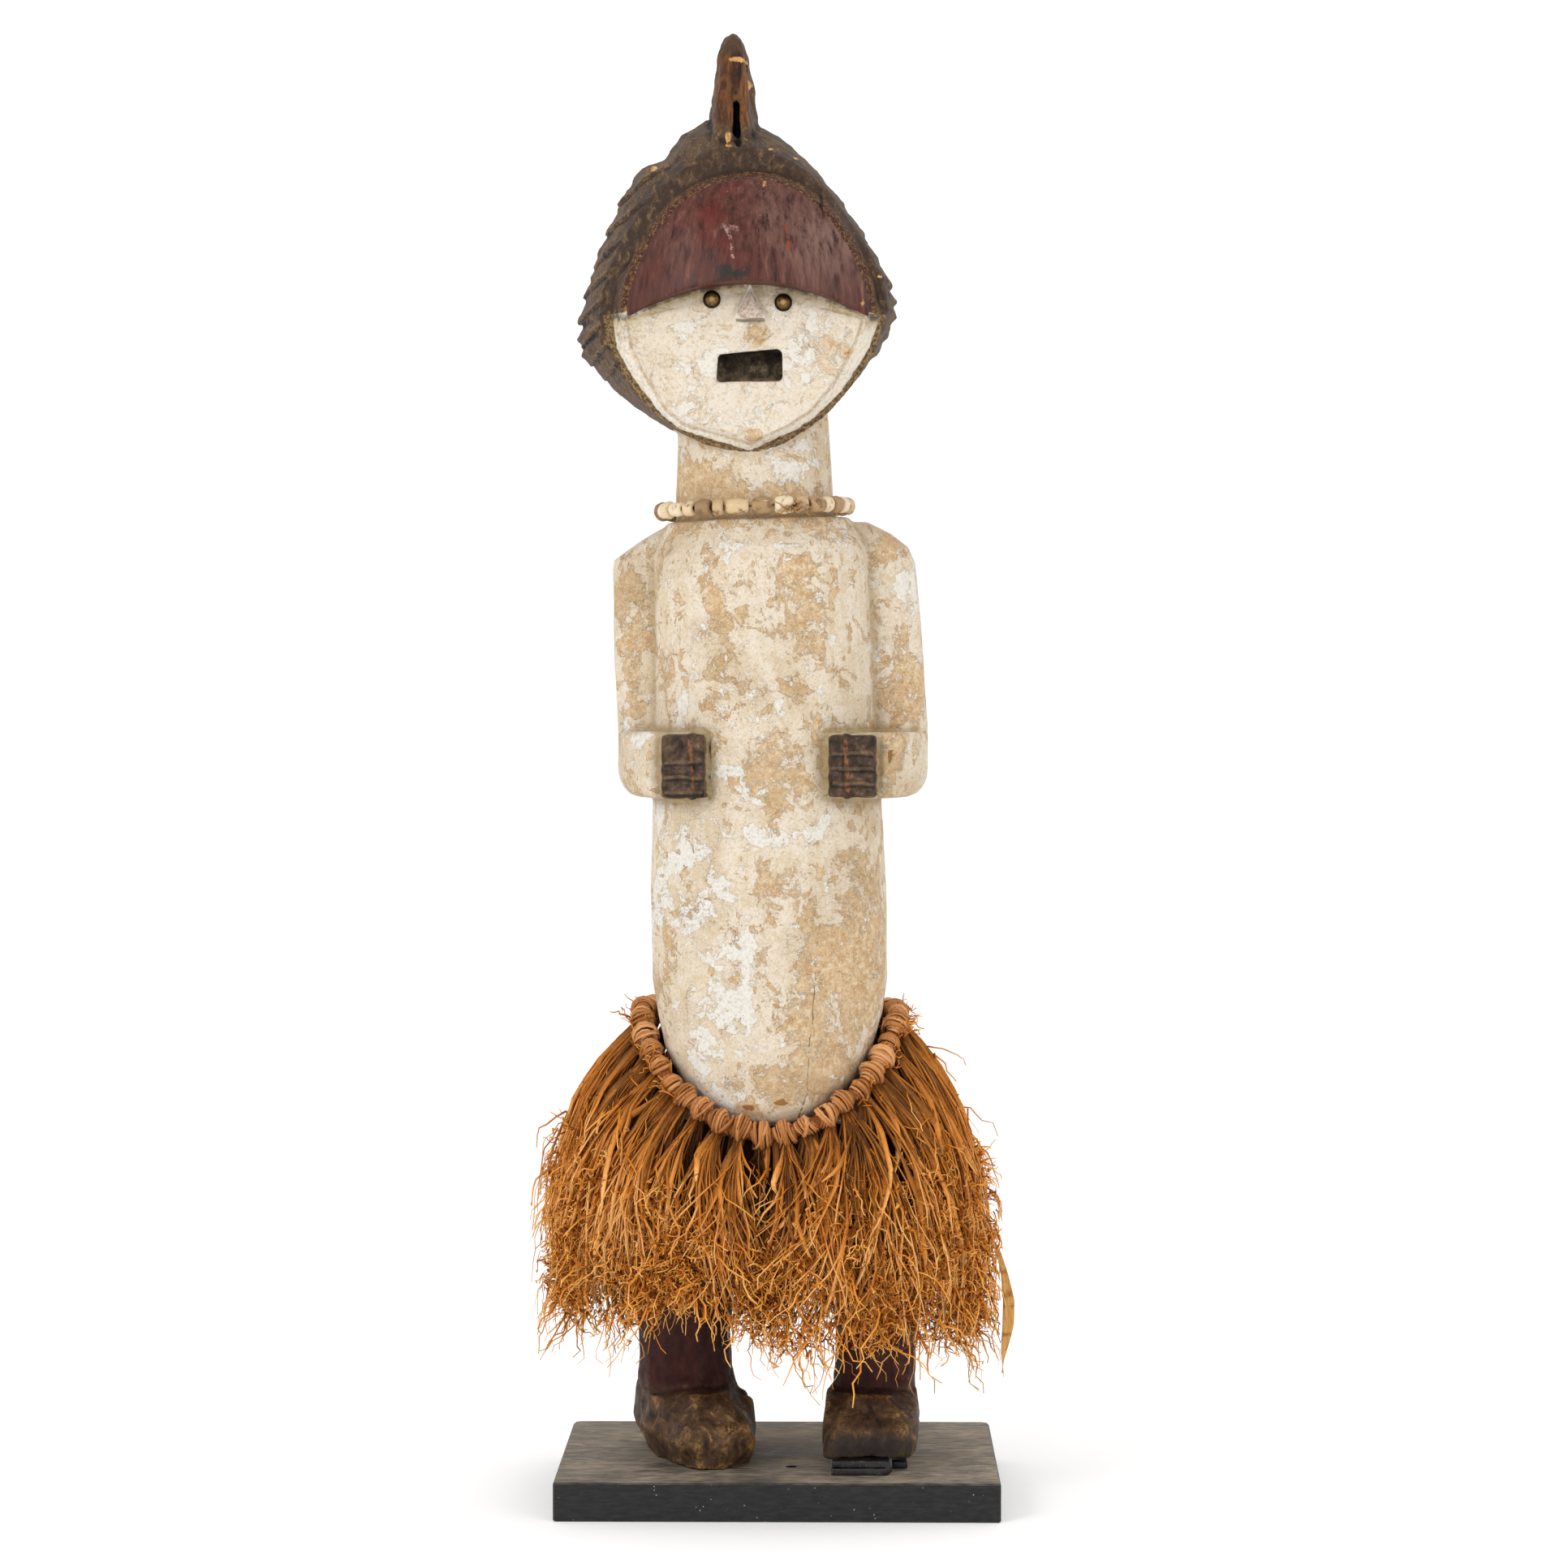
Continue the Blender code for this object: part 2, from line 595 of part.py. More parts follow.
def forehead_mesh():
    """The overhanging brow panel: an arched outline whose front bulges towards its lower middle."""
    columns = 14
    rings = []
    for i in range(columns + 1):
        turn = -math.pi / 2.0 + math.pi * i / columns
        share = 0.985 * math.sin(turn)
        x = FOREHEAD_CENTRE + FOREHEAD_HALF_WIDTH * share
        low = FOREHEAD_LOW_SIDE + FOREHEAD_LOW_RISE * (1.0 - share**2)
        top = FOREHEAD_TOP_SIDE + FOREHEAD_TOP_RISE * (1.0 - abs(share) ** 2.2) ** 0.55
        bulge = FOREHEAD_BULGE * (1.0 - share**2) ** 0.8
        ring = [at(x, -34.0, low)]
        for level in (0.0, 0.25, 0.5, 0.75, 1.0):
            depth = FOREHEAD_SIDE_DEPTH - bulge * (1.0 - 0.85 * level**1.6)
            ring.append(at(x, depth, low + (top - low) * level))
        rim_x = x + FOREHEAD_RIM * 0.8 * share
        ring.append(at(rim_x, -50.0, top + FOREHEAD_RIM))
        ring.append(at(rim_x, -34.0, top + FOREHEAD_RIM))
        rings.append(ring)
    return loft(rings)


def nose_mesh():
    bm = bmesh.new()
    corners = [bm.verts.new(at(x, FACE_PLANE + rise, z)) for x, z, rise in NOSE_CORNERS]
    buried = bm.verts.new(at(NOSE_CORNERS[2][0], FACE_PLANE + 8.0, 804.0))
    left, right, bridge, tip = corners
    for face in ((left, right, tip), (right, bridge, tip), (bridge, left, tip)):
        bm.faces.new(face)
    for face in ((right, left, buried), (bridge, right, buried), (left, bridge, buried)):
        bm.faces.new(face)
    return bm


def crest_mesh():
    """The fin along the top of the head, thin in front and thicker behind."""
    base = 918.0
    rings = []
    for depth, top, near_top, middle, foot in CREST_RINGS:
        half = (top + base) / 2.0
        outline = (
            (-foot, base), (-middle, half), (-near_top - 1.5, top - 13.0), (-near_top + 1.0, top - 4.0),
            (0.0, top), (near_top - 1.0, top - 4.0), (near_top + 1.5, top - 13.0), (middle, half),
            (foot, base),
        )
        ring = [at(CREST_LEAN + x, depth, z) for x, z in outline]
        rings.append(ring)
    return loft(rings)


def tack_hole_mesh(place):
    x, z = place
    bm = bmesh.new()
    radius = TACK_SHANK_DIAMETER / 2.0 + TACK_HOLE_CLEARANCE
    length = TACK_SHANK_LENGTH + TACK_HOLE_CLEARANCE + 0.004
    centre = at(x, FACE_PLANE, z) + Vector((0.0, length / 2.0 - 0.004, 0.0))
    turn = Matrix.Translation(centre) @ Matrix.Rotation(math.pi / 2.0, 4, "X")
    bmesh.ops.create_cone(
        bm, cap_ends=True, segments=8, radius1=radius, radius2=radius, depth=length, matrix=turn
    )
    return bm


def build_figure(parts, tools, material):
    """All that is carved from the one block of wood."""
    figure = add_object("carved_figure", trunk_mesh(), parts, material)
    shapes = [
        ("hips", smooth_column(HIPS)),
        ("neck", smooth_column(NECK)),
        ("arm_left", arm_mesh(ARM_LEFT)),
        ("arm_right", arm_mesh(ARM_RIGHT)),
        ("leg_left", limb_mesh(LEG_LEFT)),
        ("leg_right", limb_mesh(LEG_RIGHT)),
        ("foot_left", foot_mesh(FOOT_LEFT, 0.0)),
        ("foot_right", foot_mesh(FOOT_RIGHT, RAISED_SOLE)),
        ("coiffure", coiffure_mesh()),
        ("crest", crest_mesh()),
        ("face", face_mesh()),
        ("forehead", forehead_mesh()),
        ("nose", nose_mesh()),
    ]
    for name, bm in shapes:
        combine(figure, add_tool(name, bm, tools), "UNION")
    for side in (-1, 1):
        combine(figure, forearm_object(side, tools), "UNION")
        blocks, grooves = hand_parts(side, tools)
        for block in blocks:
            combine(figure, block, "UNION")
        combine(figure, grooves, "DIFFERENCE")
    mouth = prism(MOUTH_CORNERS, FACE_PLANE - 20.0, FACE_PLANE + MOUTH_DEPTH)
    combine(figure, add_tool("mouth", mouth, tools), "DIFFERENCE")
    slot = prism(CREST_SLOT, -60.0, -22.0)
    combine(figure, add_tool("crest_slot", slot, tools), "DIFFERENCE")
    for number, place in enumerate(TACK_PLACES, 1):
        combine(figure, add_tool(f"tack_hole_{number}", tack_hole_mesh(place), tools), "DIFFERENCE")
    return figure


def smooth_column(stations):
    """The hips or the neck, as an upright body of oval rings."""
    return loft([oval_ring(station, LIMB_ROUNDNESS, 24) for station in stations])


def build_tack(name, place, parts, material):
    """A domed upholstery tack, its shank driven into the face."""
    x, z = place
    head = TACK_HEAD_DIAMETER / 2.0
    shank = TACK_SHANK_DIAMETER / 2.0
    rows = [(0.0, -TACK_HEAD_RISE)]
    for degrees in (66, 40, 16):
        turn = math.radians(degrees)
        rows.append((head * math.cos(turn), -TACK_HEAD_RISE * math.sin(turn)))
    rows += [(head, -GAP), (shank, -GAP), (shank, TACK_SHANK_LENGTH * 0.7), (0.0, TACK_SHANK_LENGTH)]
    centre = at(x, FACE_PLANE, z)
    bm = bmesh.new()
    count = 10
    previous = None
    for radius, depth in rows:
        if radius == 0.0:
            ring = [bm.verts.new(centre + Vector((0.0, depth, 0.0)))]
        else:
            turns = [2.0 * math.pi * i / count for i in range(count)]
            ring = [
                bm.verts.new(centre + Vector((radius * math.cos(turn), depth, radius * math.sin(turn))))
                for turn in turns
            ]
        if previous:
            for i in range(count):
                j = (i + 1) % count
                corners = [
                    previous[i % len(previous)], previous[j % len(previous)],
                    ring[j % len(ring)], ring[i % len(ring)],
                ]
                bm.faces.new(list(dict.fromkeys(corners)))
        previous = ring
    return add_object(name, bm, parts, material, smooth=True)


# The necklace lies on the shoulders' top around the neck
NECKLACE_AXIS = Vector((NECK[1][1] * UNIT, NECK[1][4] * UNIT, 0.0))
NECKLACE_HALF_WIDTH = NECK[1][2] * UNIT + NECKLACE_CLEARANCE + BEAD_DIAMETER / 2.0
NECKLACE_HALF_DEPTH = NECK[1][3] * UNIT + NECKLACE_CLEARANCE + BEAD_DIAMETER / 2.0
NECKLACE_HEIGHT = FIGURE_BASE + TRUNK[-1][0] * UNIT + NECKLACE_REST + BEAD_DIAMETER / 2.0


def necklace_point(angle):
    radius = oval_radius(angle, NECKLACE_HALF_WIDTH, NECKLACE_HALF_DEPTH, LIMB_ROUNDNESS)
    x = radius * math.cos(angle)
    y = radius * math.sin(angle)
    return NECKLACE_AXIS + Vector((x, y, NECKLACE_HEIGHT + x * math.tan(NECKLACE_TILT)))


def build_string(parts, material):
    """The loop of cord under the beads."""
    count, sides = 40, 4
    bm = bmesh.new()
    rows = []
    for i in range(count):
        angle = 2.0 * math.pi * i / count
        centre = necklace_point(angle)
        along = (necklace_point(angle + 0.01) - necklace_point(angle - 0.01)).normalized()
        outward = along.cross(Vector((0.0, 0.0, 1.0))).normalized()
        upward = outward.cross(along)
        row = []
        for k in range(sides):
            turn = 2.0 * math.pi * k / sides
            offset = outward * math.cos(turn) + upward * math.sin(turn)
            row.append(bm.verts.new(centre + offset * NECKLACE_STRING_DIAMETER / 2.0))
        rows.append(row)
    join_loop(bm, rows)
    return add_object("necklace_string", bm, parts, material, smooth=True)


def join_loop(bm, rows):
    """Faces between rows of points that close on themselves both ways."""
    for i, row in enumerate(rows):
        following = rows[(i + 1) % len(rows)]
        for k in range(len(row)):
            m = (k + 1) % len(row)
            bm.faces.new((row[k], row[m], following[m], following[k]))


def necklace_angles():
    """The middle angle and the length of each bead, filling the loop evenly."""
    steps = 720
    lengths = [0.0]
    for i in range(steps):
        start = necklace_point(2.0 * math.pi * i / steps)
        end = necklace_point(2.0 * math.pi * (i + 1) / steps)
        lengths.append(lengths[-1] + (end - start).length)
    total = lengths[-1]
    chosen = []
    used = 0.0
    while len(chosen) < MOST_BEADS and used + BEAD_LENGTHS[len(chosen) % len(BEAD_LENGTHS)] < total:
        chosen.append(BEAD_LENGTHS[len(chosen) % len(BEAD_LENGTHS)])
        used += chosen[-1]
    slack = total / used
    found = []
    travelled = 0.0
    for length in chosen:
        middle = travelled + length * slack / 2.0
        index = next(i for i in range(steps) if lengths[i + 1] >= middle)
        share = (middle - lengths[index]) / (lengths[index + 1] - lengths[index])
        found.append((2.0 * math.pi * (index + share) / steps, length * slack))
        travelled += length * slack
    return found


def build_bead(number, angle, length, parts, material, rng):
    """A drilled disc of bone or shell, threaded on the string."""
    sides = 7
    outer = BEAD_DIAMETER / 2.0 * rng.uniform(0.76, 1.0)
    inner = BEAD_HOLE_DIAMETER / 2.0
    half = (length - 2.0 * GAP) / 2.0 * 0.96
    along = (necklace_point(angle + 0.01) - necklace_point(angle - 0.01)).normalized()
    outward = along.cross(Vector((0.0, 0.0, 1.0))).normalized()
    upward = outward.cross(along)
    turned = rng.uniform(0.0, 2.0 * math.pi)
    bm = bmesh.new()
    rows = []
    for k in range(sides):
        turn = turned + 2.0 * math.pi * k / sides
        spoke = outward * math.cos(turn) + upward * math.sin(turn)
        reach = outer * rng.uniform(0.95, 1.0)
        profile = ((inner, -half), (reach, -half * 0.86), (reach, half * 0.86), (inner, half))
        rows.append([bm.verts.new(necklace_point(angle) + spoke * r + along * a) for r, a in profile])
    join_loop(bm, rows)
    return add_object(f"bead_{number:02d}", bm, parts, material)


def waist_height(angle):
    lean = math.sin(angle)
    if lean < 0.0:
        return WAIST_SIDE_HEIGHT - WAIST_FRONT_DROP * -lean
    return WAIST_SIDE_HEIGHT - WAIST_BACK_DROP * lean


def waist_point(angle):
    knot = WAIST_KNOT_DIAMETER / UNIT / 2.0
    height = waist_height(angle)
    reach = body_reach(angle, height, knot * 1.6) + knot * 1.12 + 2.0 * GAP / UNIT
    axis_x, axis_y = WAIST_AXIS
    return at(axis_x + reach * math.cos(angle), axis_y + reach * math.sin(angle), height)


def waist_angles():
    """Angles of the knots' middles and of the waists between them, an even pitch along the cord."""
    steps = 360
    points = [waist_point(2.0 * math.pi * i / steps) for i in range(steps)]
    lengths = [0.0]
    for i in range(steps):
        lengths.append(lengths[-1] + (points[(i + 1) % steps] - points[i]).length)
    count = 2 * round(lengths[-1] / WAIST_KNOT_PITCH)
    found = []
    for k in range(count):
        middle = lengths[-1] * k / count
        index = next(i for i in range(steps) if lengths[i + 1] >= middle)
        share = (middle - lengths[index]) / (lengths[index + 1] - lengths[index])
        found.append(2.0 * math.pi * (index + share) / steps)
    return found


def build_waistband(parts, material):
    """The skirt's cord with a bundle of fibre hitched over it at every knot."""
    sides = 6
    angles = waist_angles()
    points = [waist_point(angle) for angle in angles]
    bm = bmesh.new()
    rows = []
    for i, (angle, centre) in enumerate(zip(angles, points)):
        along = (points[(i + 1) % len(points)] - points[i - 1]).normalized()
        outward = Vector((math.cos(angle), math.sin(angle), 0.0))
        outward = (outward - along * outward.dot(along)).normalized()
        upward = outward.cross(along)
        radius = (WAIST_KNOT_DIAMETER if i % 2 == 0 else WAIST_CORD_DIAMETER * 1.25) / 2.0
        row = []
        for k in range(sides):
            turn = 2.0 * math.pi * (k + 0.5) / sides
            offset = outward * math.cos(turn) + upward * math.sin(turn)
            row.append(bm.verts.new(centre + offset * radius))
        rows.append(row)
    join_loop(bm, rows)
    return add_object("skirt_waistband", bm, parts, material, smooth=True)


def hem_height(angle):
    """The hem hangs in two front lobes, the one at +X longer, and evenly behind."""
    lean = math.sin(angle)
    across = math.cos(angle + 0.06)
    front = SKIRT_HEM_LEFT + (SKIRT_HEM_RIGHT - SKIRT_HEM_LEFT) / (1.0 + math.exp(-9.0 * (across - 0.02)))
    if lean > 0.0:
        front += (SKIRT_HEM_BACK - front) * min(1.0, lean * 1.4)
    return front


def build_skirt(parts, material, rng):
    """The bell of hanging fibre, as one thick shell with tufts, a front parting and a ragged hem."""
    columns = 2 * SKIRT_TUFTS
    axis_x, axis_y = WAIST_AXIS
    axis_x, axis_y = axis_x * UNIT, axis_y * UNIT
    knot = WAIST_KNOT_DIAMETER / 2.0
    bm = bmesh.new()
    rows = []
    for i in range(columns):
        angle = 2.0 * math.pi * i / columns
        direction = Vector((math.cos(angle), math.sin(angle), 0.0))
        band = waist_point(angle)
        top = band.z - knot * 1.22 - GAP
        band_reach = (band.xy - Vector((axis_x, axis_y))).length
        hem = PLINTH_THICKNESS + hem_height(angle) + rng.uniform(-SKIRT_RAGGED, SKIRT_RAGGED)
        full = oval_radius(angle, SKIRT_HALF_WIDTH, SKIRT_HALF_DEPTH, 2.2)
        parting = math.exp(-((math.remainder(angle - FRONT_ANGLE + 0.05, 2.0 * math.pi) / 0.16) ** 2))
        full *= 1.0 - SKIRT_PARTING * parting
        tuft = 1.0 + SKIRT_TUFT_RELIEF * (-1) ** i
        outer, inner = [], []
        for share, swing in SKIRT_SWING:
            height = top + (hem - top) * share
            reach = band_reach + knot * 0.55 + (full - band_reach - knot * 0.55) * swing
            outer.append((reach * (tuft if share > 0.05 else 1.0), height))
        for share, swing in SKIRT_LINING_SWING:
            height = top + (hem - top) * share
            reach = band_reach + knot * 0.55 + (full - band_reach - knot * 0.55) * swing
            inner.append((reach - SKIRT_THICKNESS, height))
        clear = body_reach(angle, (top - FIGURE_BASE) / UNIT, 14.0) * UNIT + 0.002
        inner.append((max(clear, band_reach - knot * 0.55), top - 0.004))
        rows.append([
            bm.verts.new(Vector((axis_x, axis_y, 0.0)) + direction * reach + Vector((0.0, 0.0, height)))
            for reach, height in outer + inner
        ])
    join_loop(bm, rows)
    return add_object("raffia_skirt", bm, parts, material)


def build_plinth(parts, tools, material):
    """A sawn board with worn edges and a left-over screw hole."""
    bm = bmesh.new()
    bmesh.ops.create_cube(bm, size=1.0)
    bmesh.ops.scale(bm, verts=bm.verts, vec=(PLINTH_WIDTH, PLINTH_DEPTH, PLINTH_THICKNESS))
    bmesh.ops.translate(bm, verts=bm.verts, vec=(0.0, 0.0, PLINTH_THICKNESS / 2.0))
    half = PLINTH_THICKNESS / 2.0
    upright = [edge for edge in bm.edges if abs(edge.verts[0].co.z - edge.verts[1].co.z) > half]
    back = [edge for edge in upright if edge.verts[0].co.y > 0.0]
    bmesh.ops.bevel(
        bm, geom=back, offset=PLINTH_CORNER, offset_type="OFFSET", segments=3, profile=0.5,
        affect="EDGES", material=-1,
    )
    board = add_object("plinth_board", bm, parts, material)
    wear = board.modifiers.new("worn edges", "BEVEL")
    wear.width = PLINTH_WORN_EDGE
    wear.segments = 1
    wear.limit_method = "ANGLE"
    wear.angle_limit = math.radians(50)
    hole = bmesh.new()
    length = SCREW_HOLE_DEPTH + 0.01
    front = -PLINTH_DEPTH / 2.0
    centre = Vector((
        SCREW_HOLE_X, front + SCREW_HOLE_FROM_FRONT, PLINTH_THICKNESS - SCREW_HOLE_DEPTH + length / 2.0
    ))
    bmesh.ops.create_cone(
        hole, cap_ends=True, segments=12, radius1=SCREW_HOLE_DIAMETER / 2.0,
        radius2=SCREW_HOLE_DIAMETER / 2.0, depth=length, matrix=Matrix.Translation(centre),
    )
    combine(board, add_tool("screw_hole", hole, tools), "DIFFERENCE")
    return board


def build_shim(parts, material):
    """A strip of leather folded double under the raised right foot, its fold at the outer end."""
    sole_inner = FOOT_RIGHT[3][0][0] * UNIT
    toe = FOOT_RIGHT[3][0][1] * UNIT
    left = sole_inner - 0.001
    base = PLINTH_THICKNESS + GAP
    thickness = SHIM_LEATHER
    fold = thickness + GAP / 2.0
    right = left + SHIM_WIDTH - fold
    outline = [(left, base), (right, base)]
    for degrees in (-60, -30, 0, 30, 60):
        turn = math.radians(degrees)
        outline.append((right + fold * math.cos(turn), base + fold + fold * math.sin(turn)))
    outline += [(right, base + 2.0 * fold), (left + 0.0008, base + 2.0 * fold)]
    outline += [(left + 0.0008, base + fold + GAP / 2.0), (right, base + fold + GAP / 2.0)]
    outline += [(right, base + fold - GAP / 2.0), (left, base + fold - GAP / 2.0)]
    front = toe - 0.0075
    rings = [[Vector((x, y, z)) for x, z in outline] for y in (front, front + SHIM_DEPTH)]
    return add_object("leather_shim", loft(rings), parts, material)


def build_shim_slip(parts, material):
    """A second slip of leather beside the fold, under the outer edge of the same foot."""
    start = FOOT_RIGHT[3][0][0] * UNIT - 0.001 + SHIM_WIDTH + GAP
    toe = FOOT_RIGHT[4][0][1] * UNIT
    bm = bmesh.new()
    bmesh.ops.create_cube(bm, size=1.0)
    bmesh.ops.scale(bm, verts=bm.verts, vec=(SHIM_SLIP_WIDTH, SHIM_SLIP_DEPTH, SHIM_LEATHER))
    centre = (
        start + SHIM_SLIP_WIDTH / 2.0, toe + SHIM_SLIP_SETBACK + SHIM_SLIP_DEPTH / 2.0,
        PLINTH_THICKNESS + GAP + SHIM_LEATHER / 2.0,
    )
    bmesh.ops.translate(bm, verts=bm.verts, vec=centre)
    return add_object("leather_slip", bm, parts, material)


def main():
    clear_scene()
    parts = new_collection("reliquary_figure")
    tools = new_collection("carving_tools")
    painted_wood = new_material("painted_wood", (0.72, 0.62, 0.48), 0.85)
    brass = new_material("brass", (0.30, 0.21, 0.10), 0.45, 0.9)
    bone = new_material("bone", (0.60, 0.48, 0.33), 0.6)
    fibre = new_material("fibre_cord", (0.22, 0.14, 0.08), 0.9)
    knots = new_material("raffia_knots", (0.36, 0.15, 0.06), 0.85)
    raffia = new_material("raffia", (0.50, 0.22, 0.04), 0.9)
    black_board = new_material("black_board", (0.03, 0.03, 0.03), 0.6)
    leather = new_material("leather", (0.02, 0.02, 0.02), 0.5)
    build_figure(parts, tools, painted_wood)
    for name, place in zip(("eye_tack_left", "eye_tack_right"), TACK_PLACES):
        build_tack(name, place, parts, brass)
    build_string(parts, fibre)
    rng = random.Random(7)
    for number, (angle, length) in enumerate(necklace_angles(), 1):
        build_bead(number, angle, length, parts, bone, rng)
    build_waistband(parts, knots)
    build_skirt(parts, raffia, rng)
    build_plinth(parts, tools, black_board)
    build_shim(parts, leather)
    build_shim_slip(parts, leather)


main()
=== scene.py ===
import math
import random

import bmesh
import bpy
import numpy as np
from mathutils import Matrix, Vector


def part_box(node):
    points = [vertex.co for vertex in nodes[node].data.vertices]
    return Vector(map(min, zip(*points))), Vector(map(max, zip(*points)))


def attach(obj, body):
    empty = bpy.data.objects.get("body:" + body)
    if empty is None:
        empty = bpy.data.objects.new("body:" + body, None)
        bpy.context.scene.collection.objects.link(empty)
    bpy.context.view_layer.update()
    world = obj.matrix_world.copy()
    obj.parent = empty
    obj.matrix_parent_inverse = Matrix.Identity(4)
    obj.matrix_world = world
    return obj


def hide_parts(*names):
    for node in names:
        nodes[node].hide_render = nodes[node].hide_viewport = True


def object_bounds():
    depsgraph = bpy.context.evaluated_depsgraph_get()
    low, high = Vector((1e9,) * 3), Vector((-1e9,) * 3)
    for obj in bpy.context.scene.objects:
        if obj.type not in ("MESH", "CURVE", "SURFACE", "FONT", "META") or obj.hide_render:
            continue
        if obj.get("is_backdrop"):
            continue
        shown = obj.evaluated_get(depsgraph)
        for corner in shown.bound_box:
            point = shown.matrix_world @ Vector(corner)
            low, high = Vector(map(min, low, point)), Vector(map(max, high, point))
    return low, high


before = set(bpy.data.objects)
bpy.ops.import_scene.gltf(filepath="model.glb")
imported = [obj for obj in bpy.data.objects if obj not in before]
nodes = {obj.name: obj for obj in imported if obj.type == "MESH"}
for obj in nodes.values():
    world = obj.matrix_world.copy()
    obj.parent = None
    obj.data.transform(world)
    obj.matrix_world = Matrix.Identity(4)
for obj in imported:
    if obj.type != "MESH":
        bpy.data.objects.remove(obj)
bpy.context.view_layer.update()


# The camera stands in front of the figure at chest height, 2.5 m away on a long lens, and looks
# slightly down and to the left, as the photograph was taken.
FRAME_PIXELS, FOCAL_PIXELS = 1932.0, 4800.0
SENSOR = 36.0


def placed(name, data):
    """A new object in the scene."""
    made = bpy.data.objects.new(name, data)
    bpy.context.scene.collection.objects.link(made)
    return made


eye = Vector((0.037, -2.5, 0.5275))
aim = Vector((-65.0 / FOCAL_PIXELS, 1.0, -139.0 / FOCAL_PIXELS))
camera_data = bpy.data.cameras.new("studio_camera")
camera_data.lens = FOCAL_PIXELS / FRAME_PIXELS * SENSOR
camera_data.sensor_width = SENSOR
camera_data.clip_end = 40.0
camera = placed("studio_camera", camera_data)
camera.location = eye
camera.rotation_euler = aim.to_track_quat("-Z", "Y").to_euler()
bpy.context.scene.camera = camera
bpy.context.scene.view_settings.view_transform = "Standard"


# The board is a sawn softwood offcut painted black, with dust lying on its top, rubbed edges and
# an old screw hole in front of the feet. The figure stands on it by its own weight.
BOARD_PAINT = "#1b1b1c"
BOARD_DUST = "#d0c0a8"


def tint(code):
    """A colour written as in a paint chart, as the linear numbers that a shader wants."""
    parts = [int(code[i:i + 2], 16) / 255.0 for i in (1, 3, 5)]
    return tuple(p / 12.92 if p <= 0.04045 else ((p + 0.055) / 1.055) ** 2.4 for p in parts)


class Wire:
    """What comes out of a shader node, to be added, multiplied and stepped like a number."""

    def __init__(self, mix, socket):
        self.mix, self.socket = mix, socket

    def __add__(self, other):
        return self.mix.calc("ADD", self, other)

    def __sub__(self, other):
        return self.mix.calc("SUBTRACT", self, other)

    def __mul__(self, other):
        return self.mix.calc("MULTIPLY", self, other)

    def step(self, low, high, bottom=0.0, top=1.0):
        """Rises smoothly from bottom to top while the value goes from low to high."""
        return self.mix.add("MapRange", "Result", (self, low, high, bottom, top),
                            interpolation_type="SMOOTHSTEP")


